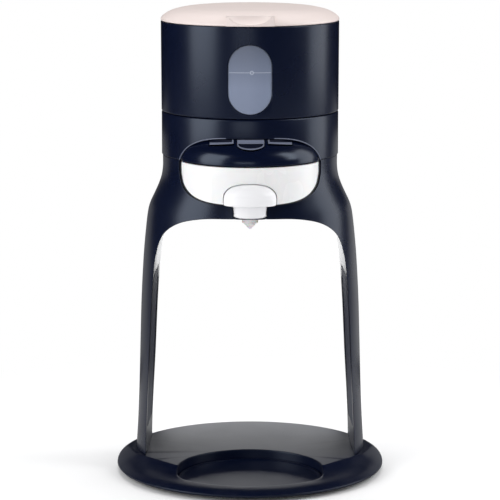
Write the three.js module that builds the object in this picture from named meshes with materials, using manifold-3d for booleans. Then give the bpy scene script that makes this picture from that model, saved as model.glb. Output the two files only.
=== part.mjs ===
// Baby formula maker: a water tank with a hinged lid stands on a heating body, which a two-legged
// stand holds over a round base. Hot water runs through a white powder drawer and its nozzle.
// Millimetres, +Z up, -Y is the front. The origin is the centre of the base on the worktop.
import * as THREE from "three";
import { mergeVertices } from "three/addons/utils/BufferGeometryUtils.js";
import Module from "manifold-3d";

const wasm = await Module();
wasm.setup();

// Driving dimensions.
const GAP = 0.3; // clearance between pieces that touch
const BASE_RADIUS = 93;
const BASE_BOTTOM = 1;
const BASE_TOP = 11.2;
const POUR_Y = -36; // the pouring nozzle stands over the middle of the tray
const BODY_RADIUS = 60.5;
const ARCH_TOP = 186; // underside of the stand's bridge
const STAND_TOP = 222.7;
const BODY_BOTTOM = STAND_TOP + GAP;
const BODY_TOP = 252.4;
const TANK_BOTTOM = BODY_TOP + 0.4;
const TANK_TOP = 313.9;
const LID_BOTTOM = TANK_TOP + GAP;
const LID_TOP = 324.6;
const WALL = 2.2;
const ROUND = 48; // facets on the large round shells
const SMALL_ROUND = 20; // facets on small round pieces

const BOWL_Y = -22; // centre of the drawer's round front
const BOWL_RADIUS = 50;
const BOWL_HALF_WIDTH = 46.8;
const BOWL_TOP = 222;
const BOWL_BOTTOM = 196.2;
const BAY_HALF_WIDTH = 47.5;
const BAY_BOTTOM = 195.6;
const BAY_BACK = 14;

const WINDOW = { halfWidth: 14.7, halfHeight: 23.2, z: 278.9 };
const HINGE = { y: 57.2, z: 309.5, barrelRadius: 2.9, pinRadius: 1.1, halfWidth: 17 };

// Finishes.
const finishes = {
  navy: { color: 0x171b33, roughness: 0.38, metalness: 0 },
  darkNavy: { color: 0x10131f, roughness: 0.5, metalness: 0 },
  lidPink: { color: 0xe8dad3, roughness: 0.4, metalness: 0 },
  white: { color: 0xf4f4f5, roughness: 0.3, metalness: 0 },
  clearTank: { color: 0x8f99b4, roughness: 0.2, metalness: 0 },
  silicone: { color: 0xbfc0c2, roughness: 0.6, metalness: 0 },
  keyGrey: { color: 0x8d94a6, roughness: 0.35, metalness: 0 },
  rubber: { color: 0x18181b, roughness: 0.9, metalness: 0 },
  steel: { color: 0xb9bcc0, roughness: 0.3, metalness: 1 },
  board: { color: 0x1f5a3a, roughness: 0.6, metalness: 0 },
  pumpBlack: { color: 0x26272b, roughness: 0.6, metalness: 0 },
};

// A closed geometry as a solid that can be cut and joined; its faces are turned out if need be.
function solid(geometry) {
  const plain = new THREE.BufferGeometry().setAttribute("position", geometry.getAttribute("position"));
  if (geometry.index) plain.setIndex(geometry.index);
  const merged = mergeVertices(plain, 1e-4);
  const vertProperties = new Float32Array(merged.getAttribute("position").array);
  const triVerts = new Uint32Array(merged.index.array).filter((v, i, all) => {
    const t = i - (i % 3);
    return all[t] !== all[t + 1] && all[t + 1] !== all[t + 2] && all[t] !== all[t + 2];
  });
  const made = new wasm.Manifold(new wasm.Mesh({ numProp: 3, vertProperties, triVerts }));
  if (made.volume() > 0) return made;
  for (let i = 0; i < triVerts.length; i += 3) [triVerts[i + 1], triVerts[i + 2]] = [triVerts[i + 2], triVerts[i + 1]];
  return new wasm.Manifold(new wasm.Mesh({ numProp: 3, vertProperties, triVerts }));
}

// A solid back as a geometry for a mesh.
function geometryOf(made) {
  const mesh = made.getMesh();
  return new THREE.BufferGeometry()
    .setAttribute("position", new THREE.BufferAttribute(mesh.vertProperties, 3))
    .setIndex(new THREE.BufferAttribute(mesh.triVerts, 1));
}

// A profile of [radius, height] pairs turned about a vertical axis through (0, y).
function turned(profile, y = 0, facets = ROUND) {
  const points = [...profile, profile[0]].map(([r, h]) => new THREE.Vector2(r, h));
  const onAxis = profile[0][0] === 0 && profile[profile.length - 1][0] === 0;
  const lathe = new THREE.LatheGeometry(onAxis ? points.slice(0, -1) : points, facets);
  return solid(lathe.rotateX(Math.PI / 2).translate(0, y, 0));
}

// An upright round bar or disc between two heights.
function bar(radius, low, high, x = 0, y = 0, facets = SMALL_ROUND) {
  const made = turned([[0, low], [radius, low], [radius, high], [0, high]], 0, facets);
  return made.translate([x, y, 0]);
}

// A round bar along X between two places.
function crossBar(radius, x0, x1, y, z, facets = SMALL_ROUND) {
  const rod = new THREE.CylinderGeometry(radius, radius, x1 - x0, facets).rotateZ(Math.PI / 2);
  return solid(rod.translate((x0 + x1) / 2, y, z));
}

// A plain block between two corners.
function block(x0, x1, y0, y1, z0, z1) {
  const box = new THREE.BoxGeometry(x1 - x0, y1 - y0, z1 - z0);
  return solid(box.translate((x0 + x1) / 2, (y0 + y1) / 2, (z0 + z1) / 2));
}

// An outline in the X-Z plane, pushed along Y from y0 to y1.
function pushedBack(shape, y0, y1, curveSegments = 10) {
  const made = new THREE.ExtrudeGeometry(shape, { depth: y1 - y0, bevelEnabled: false, curveSegments });
  return solid(made.rotateX(Math.PI / 2).translate(0, y1, 0));
}

// An outline in the X-Y plane, raised from z0 to z1.
function raised(shape, z0, z1, curveSegments = 12) {
  const made = new THREE.ExtrudeGeometry(shape, { depth: z1 - z0, bevelEnabled: false, curveSegments });
  return solid(made.translate(0, 0, z0));
}

// An outline in the Y-Z plane, pushed along X from x0 to x1.
function pushedAcross(shape, x0, x1, curveSegments = 8) {
  const made = new THREE.ExtrudeGeometry(shape, { depth: x1 - x0, bevelEnabled: false, curveSegments });
  return solid(made.rotateX(Math.PI / 2).rotateZ(Math.PI / 2).translate(x0, 0, 0));
}

// A skin over a stack of closed rings of equally many points, capped at both ends.
function lofted(rings) {
  const count = rings[0].length;
  const positions = rings.flat().flatMap((p) => [p.x, p.y, p.z]);
  const index = [];
  for (let k = 0; k + 1 < rings.length; k++)
    for (let i = 0; i < count; i++) {
      const a = k * count + i;
      const b = k * count + ((i + 1) % count);
      index.push(a, b, a + count, b, b + count, a + count);
    }
  const top = (rings.length - 1) * count;
  for (let i = 1; i + 1 < count; i++) index.push(0, i + 1, i, top, top + i, top + i + 1);
  const skin = new THREE.BufferGeometry();
  skin.setAttribute("position", new THREE.BufferAttribute(new Float32Array(positions), 3));
  skin.setIndex(index);
  return solid(skin);
}

// A hose or wire along a smooth curve through the points, of eight sides.
function hose(points, radius, steps = 16) {
  const section = new THREE.Shape(
    Array.from({ length: 8 }, (_, i) => {
      const turn = (i * Math.PI) / 4;
      return new THREE.Vector2(radius * Math.cos(turn), radius * Math.sin(turn));
    }),
  );
  const path = new THREE.CatmullRomCurve3(points.map((p) => new THREE.Vector3(...p)));
  return solid(new THREE.ExtrudeGeometry(section, { steps, extrudePath: path, bevelEnabled: false }));
}

// A value read off a rising list of [place, value] pairs, by straight lines between them.
function readOff(table, place) {
  if (place <= table[0][0]) return table[0][1];
  for (let i = 0; i + 1 < table.length; i++) {
    const [p0, v0] = table[i];
    const [p1, v1] = table[i + 1];
    if (place <= p1) return v0 + ((v1 - v0) * (place - p0)) / (p1 - p0);
  }
  return table[table.length - 1][1];
}

const root = new THREE.Group();

function add(name, made, finish, parent = root) {
  const mesh = new THREE.Mesh(geometryOf(made), new THREE.MeshStandardMaterial(finishes[finish]));
  mesh.name = name;
  parent.add(mesh);
  return mesh;
}

// The base: a flat pebble with a round rim. It stands high at the back and under the feet; in front of
// a ridge, which runs round each foot to the tray's recess, it falls to a low apron with a thin lip.
const FOOT_X = 76.3;
const FOOT_SCREWS = [
  [FOOT_X, 10],
  [FOOT_X, 36],
  [-FOOT_X, 10],
  [-FOOT_X, 36],
];
const UNDERPLATE_RADIUS = 71;
const FOOT_PAD_RADIUS = 62;
// The ridge in plan, from the middle of the front round to the right-hand rim.
const RIDGE = [
  [0, -37.5],
  [50.5, -37.5],
  [73.5, -12.6],
  [78.5, -7],
  [83, 5],
  [86, 16],
  [88, 30],
];
// How far the apron has fallen at a distance past the ridge, and how its lip falls near the rim.
const APRON_DROP = [
  [0, 0],
  [2, 0.7],
  [5, 1.8],
  [9, 2.7],
  [14, 3.4],
  [22, 3.9],
  [40, 4.2],
];
const LIP_DROP = [
  [82, 0],
  [86, 0.25],
  [89, 0.8],
  [91.5, 1.6],
  [96, 3.6],
];
const RECESS = { centreY: -45, radius: 50, front: 76.5, floor: 3.3 };
const TRAY = { low: 3.6, floor: 4.4, rim: 5 };

// Where a ray from the base's centre, at an angle from the front, meets the ridge.
function ridgeRadius(turn) {
  const ray = new THREE.Vector2(Math.sin(Math.abs(turn)), -Math.cos(turn));
  for (let i = 0; i + 1 < RIDGE.length; i++) {
    const from = new THREE.Vector2(...RIDGE[i]);
    const along = new THREE.Vector2(...RIDGE[i + 1]).sub(from);
    const share = from.cross(ray) / ray.cross(along);
    if (share > -1e-6 && share < 1 + 1e-6) return from.add(along.multiplyScalar(share)).length();
  }
  throw new Error("no ridge at this angle");
}

// How far a point in front of the ridge is from it, in plan.
function fromRidge(x, y) {
  const point = new THREE.Vector3(Math.abs(x), y, 0);
  const near = new THREE.Vector3();
  const spans = RIDGE.slice(1).map((to, i) => new THREE.Line3(new THREE.Vector3(...RIDGE[i], 0), new THREE.Vector3(...to, 0)));
  return Math.min(...spans.map((span) => span.closestPointToPoint(point, true, near).distanceTo(point)));
}

// All that lies over the apron, swept round the front from rim to rim.
function overApron() {
  const vertexTurns = RIDGE.map(([x, y]) => Math.atan2(x, -y));
  const half = vertexTurns.slice(1).flatMap((to, i) => {
    const from = vertexTurns[i];
    const steps = i < 2 ? 4 : 1;
    return Array.from({ length: steps }, (_, k) => from + ((to - from) * (k + 1)) / steps);
  });
  const turns = [...half.map((turn) => -turn).reverse(), 0, ...half];
  const outside = BASE_RADIUS + 3;
  const shares = [0, 0.04, 0.1, 0.2, 0.35, 0.5, 0.65, 0.78, 0.9, 1];
  return lofted(
    turns.map((turn) => {
      const radius = ridgeRadius(turn);
      const surface = shares.map((share) => {
        const r = radius + (outside - radius) * share;
        const drop = readOff(APRON_DROP, fromRidge(r * Math.sin(turn), -r * Math.cos(turn)));
        const fullDrop = APRON_DROP[APRON_DROP.length - 1][1];
        return [r, BASE_TOP - drop - (readOff(LIP_DROP, r) * drop) / fullDrop];
      });
      const section = [...surface, [outside, BASE_TOP + 5], [radius, BASE_TOP + 5]];
      return section.map(([r, z]) => new THREE.Vector3(r * Math.sin(turn), -r * Math.cos(turn), z));
    }),
  );
}

// The recess in plan: a round dish whose front follows the base's rim, with softened corners.
function recessShape(inset) {
  const middle = -38;
  const softness = 20;
  const reach = (x, y, centre, radius) => {
    const off = middle - centre;
    return -y * off + Math.sqrt((y * off) ** 2 - off * off + radius * radius);
  };
  const points = Array.from({ length: 64 }, (_, i) => {
    const turn = (i * 2 * Math.PI) / 64;
    const x = Math.cos(turn);
    const y = Math.sin(turn);
    const toDish = reach(x, y, RECESS.centreY, RECESS.radius - inset);
    const toFront = reach(x, y, 0, RECESS.front - inset);
    const r = (toDish ** -softness + toFront ** -softness) ** (-1 / softness);
    return new THREE.Vector2(x * r, middle + y * r);
  });
  return new THREE.Shape(points);
}

function makeBase() {
  const rim = [
    [0, BASE_BOTTOM],
    [82, BASE_BOTTOM],
    [86, 1.6],
    [91, 2.8],
    [92.5, 3.8],
    [BASE_RADIUS, 5.2],
    [92.6, 7.4],
    [91.2, 9.4],
    [88.8, 10.8],
    [85.5, BASE_TOP],
    [0, BASE_TOP],
  ];
  const underplateTop = 2.2;
  let base = turned(rim).subtract(overApron());
  base = base.subtract(raised(recessShape(0), RECESS.floor, 20));
  base = base.subtract(bar(UNDERPLATE_RADIUS + GAP, 0, underplateTop + GAP, 0, 0, ROUND));
  for (const [x, y] of FOOT_SCREWS) {
    base = base.subtract(bar(1.9, 0, 20, x, y, 12));
    base = base.subtract(bar(3.5, 0, 4.4, x, y, 16));
  }
  add("base_plate", base, "navy");

  let under = bar(UNDERPLATE_RADIUS, BASE_BOTTOM, underplateTop, 0, 0, ROUND);
  const pads = Array.from({ length: 4 }, (_, i) => {
    const turn = Math.PI / 4 + (i * Math.PI) / 2;
    return [FOOT_PAD_RADIUS * Math.cos(turn), FOOT_PAD_RADIUS * Math.sin(turn)];
  });
  for (const [x, y] of pads) under = under.subtract(bar(6.3, 0, 1.6, x, y, 16));
  add("base_underplate", under, "darkNavy");
  pads.forEach(([x, y], i) => {
    const pad = turned([[0, 0], [5.4, 0], [6, 0.5], [6, 1.3], [0, 1.3]], 0, 16).translate([x, y, 0]);
    add(`foot_pad_${i + 1}`, pad, "rubber");
  });

  const tray = raised(recessShape(0.6), TRAY.low, TRAY.rim);
  add("drip_tray", tray.subtract(raised(recessShape(2.6), TRAY.floor, TRAY.rim + 1)), "navy");

  FOOT_SCREWS.forEach(([x, y], i) => {
    const screw = turned([[0, 2.2], [1, 2.2], [1, 1.4], [2.9, 1.4], [3, 3.9], [1.5, 4.1], [1.5, 22], [0, 23]], 0, 12);
    add(`stand_screw_${i + 1}`, screw.translate([x, y, 0]), "steel");
  });
}

// Half width of the stand's outer skin at each height, in the front view.
const SKIN_HALF_WIDTH = [
  [8, 80.8],
  [34, 79.2],
  [62, 77.9],
  [91, 76.9],
  [120, 75.8],
  [148, 74.1],
  [162, 72.9],
  [175, 71.5],
  [181, 70.7],
  [186, 69.7],
  [189.5, 68.5],
  [193, 66.9],
  [196.5, 65.2],
  [200, 63.6],
  [203.5, 62.2],
  [207, 61],
  [214, 59.9],
];
// Half depth of the same skin: a round barrel at the top, then as deep as the legs need.
const SKIN_HALF_DEPTH = [
  [8, 80.8],
  [91, 76.9],
  [148, 74.1],
  [162, 71],
  [175, 65],
  [186, 61.4],
  [200, 59.9],
];
// The legs lean back as they go down, so the body reaches out over the tray.
const SKIN_CENTRE_Y = [
  [8, 23],
  [50, 19],
  [100, 13],
  [160, 4.5],
  [190, 0],
];
// Half width of the arch between the legs, halfway back; it narrows a little towards the rear.
const LEG_INNER = [
  [8, 72.6],
  [27, 72.1],
  [50, 71],
  [80, 69.4],
  [110, 67.7],
  [132, 66.1],
  [147, 64.6],
];
const ARCH_TAPER = 0.00049;
const LEG_BOTTOM = BASE_TOP + GAP;
const FOOT_REACH = 86.5; // the feet end on the base's flat top

function standSkin() {
  const heights = [LEG_BOTTOM, ...SKIN_HALF_WIDTH.map(([z]) => z).slice(1), STAND_TOP];
  return lofted(
    heights.map((z) => {
      const a = readOff(SKIN_HALF_WIDTH, z);
      const b = readOff(SKIN_HALF_DEPTH, z);
      const y = readOff(SKIN_CENTRE_Y, z);
      return Array.from({ length: ROUND }, (_, i) => {
        const turn = (i * 2 * Math.PI) / ROUND;
        return new THREE.Vector3(a * Math.cos(turn), y + b * Math.sin(turn), z);
      });
    }),
  );
}

// The opening under the bridge, pushed right through the stand.
function arch() {
  const half = new THREE.Path();
  half.moveTo(LEG_INNER[0][1], 0);
  for (const [z, x] of LEG_INNER) half.lineTo(x, z);
  half.bezierCurveTo(63, 158, 62, 174, 52, 180.5);
  half.bezierCurveTo(46.5, 184, 30, ARCH_TOP - 0.2, 0, ARCH_TOP);
  const right = half.getPoints(7);
  const left = right.slice(0, -1).map((p) => new THREE.Vector2(-p.x, p.y));
  const outline = [...left, ...[...right].reverse()];
  return lofted(
    [-120, 120].map((y) => outline.map((p) => new THREE.Vector3(p.x * (1 - ARCH_TAPER * y), y, p.y))),
  );
}

// The drawer's way in, as seen from the front: straight sides that round into a flat floor.
const BAY_CORNER = [
  [0, 18],
  [1.1, 12.5],
  [2.4, 9.3],
  [4.8, 6.3],
  [7.5, 4.2],
  [11.5, 2.4],
  [16.5, 1.2],
  [22, 0.5],
  [29, 0],
];

function bayShape(halfWidth, bottom, top) {
  const left = BAY_CORNER.map(([inset, rise]) => new THREE.Vector2(-halfWidth + inset, bottom + rise));
  const right = [...left].reverse().map((p) => new THREE.Vector2(-p.x, p.y));
  return new THREE.Shape([new THREE.Vector2(-halfWidth, top), ...left, ...right, new THREE.Vector2(halfWidth, top)]);
}

// The notch in the bridge that the spout and nozzle slide through; it narrows downwards.
const NOTCH_TOP = 12.3;
const NOTCH_BOTTOM = 10.3;
const NOTCH_END = 10.9;

function makeStand() {
  let stand = standSkin().intersect(bar(FOOT_REACH, 0, 250, 0, 0, ROUND));
  stand = stand.subtract(arch());
  stand = stand.subtract(pushedBack(bayShape(BAY_HALF_WIDTH, BAY_BOTTOM, STAND_TOP + 5), -90, BAY_BACK));
  const notch = new THREE.Shape([
    new THREE.Vector2(-NOTCH_BOTTOM, ARCH_TOP - 4),
    new THREE.Vector2(NOTCH_BOTTOM, ARCH_TOP - 4),
    new THREE.Vector2(NOTCH_TOP, BAY_BOTTOM + 2),
    new THREE.Vector2(-NOTCH_TOP, BAY_BOTTOM + 2),
  ]);
  stand = stand.subtract(pushedBack(notch, -90, POUR_Y));
  stand = stand.subtract(bar(NOTCH_END, ARCH_TOP - 4, BAY_BOTTOM + 2, 0, POUR_Y, 32));
  // The room behind the drawer holds the pump.
  const room = bar(BODY_RADIUS - 3.5, ARCH_TOP + 4, STAND_TOP + 5, 0, 0, ROUND);
  stand = stand.subtract(room.intersect(block(-60, 60, BAY_BACK + 4, 60, 180, 240)));
  for (const side of [-1, 1]) stand = stand.subtract(legPocket(side, 0));
  for (const [x, y] of FOOT_SCREWS) stand = stand.subtract(bar(1.9, 0, 24, x, y, 12));
  add("stand_frame", stand, "navy");
  for (const [name, side] of [["left_leg_cover", -1], ["right_leg_cover", 1]])
    add(name, legPocket(side, GAP), "navy");
}

// The long flat cover let into the inner face of each leg, and, with no gap, the pocket for it.
const COVER_DEPTH = 2;
const COVER = { low: 28, high: 140, halfDepth: 24 };

function legPocket(side, gap) {
  const rings = [COVER.low + gap, 50, 80, 110, COVER.high - gap].map((z) => {
    const centre = readOff(SKIN_CENTRE_Y, z);
    const half = COVER.halfDepth - gap;
    const near = gap ? 0.25 : -2;
    const far = COVER_DEPTH + 0.25 - gap;
    const corners = [
      [near, centre - half],
      [far, centre - half],
      [far, centre + half],
      [near, centre + half],
    ];
    if (side < 0) corners.reverse();
    return corners.map(([out, y]) => {
      const face = readOff(LEG_INNER, z) * (1 - ARCH_TAPER * y);
      return new THREE.Vector3(side * (face + out), y, z);
    });
  });
  return lofted(rings);
}

// The heating body: a round band with the control hood's arch cut out of its front.
const HOOD_ARCH = [
  [47, 223],
  [45.4, 227],
  [42.8, 230.7],
  [39.5, 233.6],
  [35.5, 235.9],
  [31, 237.6],
  [25, 238.9],
  [16, 239.6],
  [0, 239.9],
];

function hoodArch(inset, low) {
  const left = HOOD_ARCH.map(([x, z], i) => {
    const before = HOOD_ARCH[Math.max(i - 1, 0)];
    const after = HOOD_ARCH[Math.min(i + 1, HOOD_ARCH.length - 1)];
    const along = new THREE.Vector2(after[0] - before[0], after[1] - before[1]).normalize();
    if (i === HOOD_ARCH.length - 1) along.set(-1, 0);
    return new THREE.Vector2(-(x - along.y * inset), z + along.x * inset);
  });
  const right = [...left].slice(0, -1).reverse().map((p) => new THREE.Vector2(-p.x, p.y));
  const foot = -left[0].x;
  return new THREE.Shape([new THREE.Vector2(-foot, low), ...left, ...right, new THREE.Vector2(foot, low)]);
}

const DECK_THICKNESS = 3;
const PUMP_PORT = { x: 14, y: 45, top: 221 };
const SOCKET_RADIUS = 13.6;
const SOCKET_ROUND = 24;
const GLAND = { z: 236, radius: 5 };

function makeBody() {
  const edge = 0.7;
  let shell = turned([
    [0, BODY_BOTTOM],
    [BODY_RADIUS, BODY_BOTTOM],
    [BODY_RADIUS, BODY_TOP - edge],
    [BODY_RADIUS - edge, BODY_TOP],
    [0, BODY_TOP],
  ]);
  shell = shell.subtract(bar(BODY_RADIUS - WALL, 200, BODY_TOP - DECK_THICKNESS, 0, 0, ROUND));
  shell = shell.subtract(pushedBack(hoodArch(0, 200), -90, -25));
  shell = shell.subtract(bar(SOCKET_RADIUS + GAP, 240, 260, 0, 0, SOCKET_ROUND));
  const glandHole = new THREE.CylinderGeometry(GLAND.radius + GAP, GLAND.radius + GAP, 20, 24);
  shell = shell.subtract(solid(glandHole.translate(0, 60, GLAND.z)));
  add("body_shell", shell, "navy");

  const floorTop = 225.6;
  let floor = bar(BODY_RADIUS - WALL - GAP, BODY_BOTTOM + GAP, floorTop, 0, 0, ROUND);
  floor = floor.subtract(bar(6.3, 200, 240, 0, BOWL_Y));
  for (const x of [-PUMP_PORT.x, PUMP_PORT.x]) floor = floor.subtract(bar(4.6, 200, 240, x, PUMP_PORT.y));
  const hoodRoom = bar(BOWL_RADIUS + GAP, 200, 240, 0, BOWL_Y, 60).intersect(block(-70, 70, -90, -34, 200, 240));
  const bodyRoom = block(-70, 70, -90, -34, 200, 240).subtract(bar(30, 200, 240, 0, 0));
  floor = floor.subtract(hoodRoom).subtract(bodyRoom.intersect(block(-70, 70, -90, -38, 200, 240)));
  add("body_floor", floor, "darkNavy");

  let gland = new THREE.LatheGeometry(
    [[3.2, 0], [7.2, 0], [7.2, 1.6], [GLAND.radius, 2], [GLAND.radius, 6], [3.2, 6], [3.2, 0]].map(
      ([r, h]) => new THREE.Vector2(r, h),
    ),
    24,
  );
  gland = solid(gland.rotateX(Math.PI).translate(0, BODY_RADIUS + 2.2, GLAND.z));
  add("cord_gland", gland, "rubber");
}

// The hood: a rounded visor over the drawer with three keys let into its brow.
const HOOD_PROFILE = [
  [222.9, 50],
  [226, 49.9],
  [229, 49],
  [231.5, 47.4],
  [233.8, 45.2],
  [235.8, 42.8],
  [237.6, 40.6],
  [239.6, 39],
];
const HOOD_BACK = -36;
const KEY_BACK = -50;
const KEY_LOW = { outer: 235.6, inner: 237, start: 236.5 };
const KEY_ROOM = { side: 0.4, below: 1.1 }; // the keys sink 0.8 back and down when pressed
const SIDE_KEYS = { temperature_key: [-26.8, -10.9], volume_key: [27.9, 12] };
const START_KEY = { middle: 0.5, half: 8.9, lipCentre: 236.4, lipFall: 3.5 };

function hoodDome(inset, low, high) {
  const rise = HOOD_PROFILE.filter(([z]) => z > low && z < high).map(([z, r]) => [r - inset, z]);
  const lowRadius = readOff(HOOD_PROFILE, low) - inset;
  const highRadius = readOff(HOOD_PROFILE, high) - inset;
  return turned([[0, low], [lowRadius, low], ...rise, [highRadius, high], [0, high]], BOWL_Y, 64);
}

// Front view of a key from one end to the other, open upwards; its lower edge may climb.
function keyShape([outer, inner], lowOuter, lowInner, side, below) {
  const out = Math.sign(outer - inner) * side;
  return new THREE.Shape([
    new THREE.Vector2(outer + out, lowOuter - below),
    new THREE.Vector2(inner - out, lowInner - below),
    new THREE.Vector2(inner - out, 250),
    new THREE.Vector2(outer + out, 250),
  ]);
}

// Front view of the start key's half-round lip.
function lipShape(side, below) {
  const { middle, half, lipCentre, lipFall } = START_KEY;
  const shape = new THREE.Shape();
  shape.moveTo(middle - half - side, lipCentre + 1);
  shape.lineTo(middle - half - side, lipCentre);
  shape.absellipse(middle, lipCentre, half + side, lipFall + below, Math.PI, 2 * Math.PI, false);
  shape.lineTo(middle + half + side, lipCentre + 1);
  return shape;
}

function makeHood() {
  const low = 222.9;
  const underArch = pushedBack(hoodArch(0.5, 200), -90, HOOD_BACK);
  let hood = hoodDome(0, low, 239.4).intersect(underArch);
  const hollow = hoodDome(WALL, low + WALL, 237.2).intersect(pushedBack(hoodArch(2.7, 200), -90, HOOD_BACK + 9));
  hood = hood.subtract(hollow);
  const startEnds = [START_KEY.middle + START_KEY.half, START_KEY.middle - START_KEY.half];
  const views = {
    start_key: (side, below) => keyShape(startEnds, KEY_LOW.start, KEY_LOW.start, side, below),
  };
  for (const [name, ends] of Object.entries(SIDE_KEYS))
    views[name] = (side, below) => keyShape(ends, KEY_LOW.outer, KEY_LOW.inner, side, below);
  for (const view of Object.values(views))
    hood = hood.subtract(pushedBack(view(KEY_ROOM.side, KEY_ROOM.below), -80, HOOD_BACK - 6));
  hood = hood.subtract(pushedBack(lipShape(KEY_ROOM.side, KEY_ROOM.below), -80, -60).subtract(hoodDome(4, low, 239)));
  add("hood", hood, "navy");

  // The keys stand a little proud of the hood; the start key adds a half-round lip that follows it down.
  const proud = hoodDome(-0.8, low, 239.4).intersect(underArch);
  for (const name of Object.keys(SIDE_KEYS))
    add(name, proud.intersect(pushedBack(views[name](0, 0), -80, KEY_BACK)), "keyGrey");
  const lip = proud.subtract(hoodDome(1.4, low - 1, 240)).intersect(pushedBack(lipShape(0, 0), -80, -60));
  const start = proud.intersect(pushedBack(views.start_key(0, 0), -80, KEY_BACK));
  add("start_key", start.add(lip), "keyGrey");

  const board = block(-30, 30, -55, -42, 229, 230.4);
  add("control_board", board, "board");
  const centres = { temperature: -18.8, start: 0.5, volume: 20 };
  for (const [name, x] of Object.entries(centres)) {
    const button = bar(1.6, 232.7, 235.2, x, -52.5, 12);
    add(`${name}_switch`, block(x - 3, x + 3, -55, -50, 230.7, 232.8).add(button), "pumpBlack");
  }
}

// Water path inside the body: socket under the tank, pump, heater and outlet over the drawer.
const SOCKET_FLOOR = 245.5;
const HEATER = { y: 26, z: 240.2 };

function makeWaterPath() {
  let socket = turned(
    [
      [0, 242.5],
      [SOCKET_RADIUS, 242.5],
      [SOCKET_RADIUS, 246.6],
      [16.5, 246.6],
      [16.5, 249.1],
      [SOCKET_RADIUS, 249.1],
      [SOCKET_RADIUS, BODY_TOP],
      [10.6, BODY_TOP],
      [10.6, SOCKET_FLOOR],
      [0, SOCKET_FLOOR],
    ],
    0,
    SOCKET_ROUND,
  );
  socket = socket.add(bar(1.4, SOCKET_FLOOR - 1, 249.5, 0, 0, 16));
  socket = socket.add(bar(3, 239, 243, 0, 6, 16));
  socket = socket.subtract(bar(1.8, 230, SOCKET_FLOOR + 1, 0, 6, 16));
  add("inlet_socket", socket, "white");
  const ring = new THREE.TorusGeometry(9.5, 0.75, 8, 28).translate(0, 0, 248.6);
  add("socket_seal", solid(ring), "silicone");

  // The pump lies across the room behind the drawer.
  const pumpY = 37;
  const pumpZ = 205;
  let pump = crossBar(12, -22, 14, pumpY, pumpZ).add(crossBar(9.5, 12, 26, pumpY, pumpZ));
  for (const x of [-PUMP_PORT.x, PUMP_PORT.x]) pump = pump.add(bar(3, pumpZ, PUMP_PORT.top, x, PUMP_PORT.y, 16));
  for (const x of [-20, 8]) pump = pump.add(crossBar(12.8, x, x + 1.6, pumpY, pumpZ));
  add("water_pump", pump, "pumpBlack");

  // The heater is a finned tube across the body; its two stubs take the hoses.
  let heater = crossBar(3, -39, 39, HEATER.y, HEATER.z, 12).add(crossBar(5.5, -34, 34, HEATER.y, HEATER.z, 12));
  for (let x = -28; x <= 28; x += 8) heater = heater.add(crossBar(7.4, x - 0.8, x + 0.8, HEATER.y, HEATER.z, 12));
  add("water_heater", heater, "steel");

  const outlet = turned(
    [[0, 223.2], [2, 222.9], [5.9, 222.9], [5.9, 225.9], [8.5, 225.9], [8.5, 227.6], [3, 227.6], [3, 231.5], [0, 231.5]],
    BOWL_Y,
    24,
  );
  add("water_outlet", outlet, "silicone");

  const { x: portX, y: portY, top: portTop } = PUMP_PORT;
  const { y: heatY, z: heatZ } = HEATER;
  const fromTank = [
    [0, 6, 238.6],
    [0, 6, 235],
    [-1.5, 8.5, 231.5],
    [-6, 17, 229],
    [-11.5, 32, 229],
    [-portX, 42.5, 228.3],
    [-portX, portY, 225.5],
    [-portX, portY, portTop + 0.5],
  ];
  add("tank_to_pump_hose", hose(fromTank, 2.6, 20), "silicone");
  const toHeater = [
    [portX, portY, portTop + 0.5],
    [portX, portY, 226],
    [18, portY, 232],
    [31, 42, 239],
    [41, 35, 241],
    [45, 29, 240.5],
    [43.5, heatY, heatZ],
    [39.5, heatY, heatZ],
  ];
  add("pump_to_heater_hose", hose(toHeater, 2.6, 22), "silicone");
  const toOutlet = [
    [-39.5, heatY, heatZ],
    [-44, heatY, heatZ],
    [-47, 19, heatZ],
    [-46, 6, 239],
    [-38, -8, 238],
    [-20, -18, 238],
    [-6, BOWL_Y, 237.5],
    [0, BOWL_Y, 235.5],
    [0, BOWL_Y, 232],
  ];
  add("heater_to_outlet_hose", hose(toOutlet, 2.6, 26), "silicone");

  let power = block(20, 44, -24, 12, 226.2, 227.6);
  power = power.add(block(24, 38, -8, 8, 227, 243)).add(bar(4, 227, 239, 27, -17, 16));
  add("power_board", power.add(block(34, 41, -21, -12, 227, 234)), "board");
}

// The tank: a navy sleeve with a window, a see-through liner and a valve in its floor.
function windowShape(inset) {
  const half = WINDOW.halfWidth - inset;
  const tall = WINDOW.halfHeight - inset;
  const straight = tall - half;
  const shape = new THREE.Shape();
  shape.moveTo(half, -straight);
  shape.lineTo(half, straight);
  shape.absarc(0, straight, half, 0, Math.PI, false);
  shape.lineTo(-half, -straight);
  shape.absarc(0, -straight, half, Math.PI, 2 * Math.PI, false);
  return shape;
}

const LINER = { radius: 57.9, wall: 1.8, low: 257.6, high: 303 };

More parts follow.
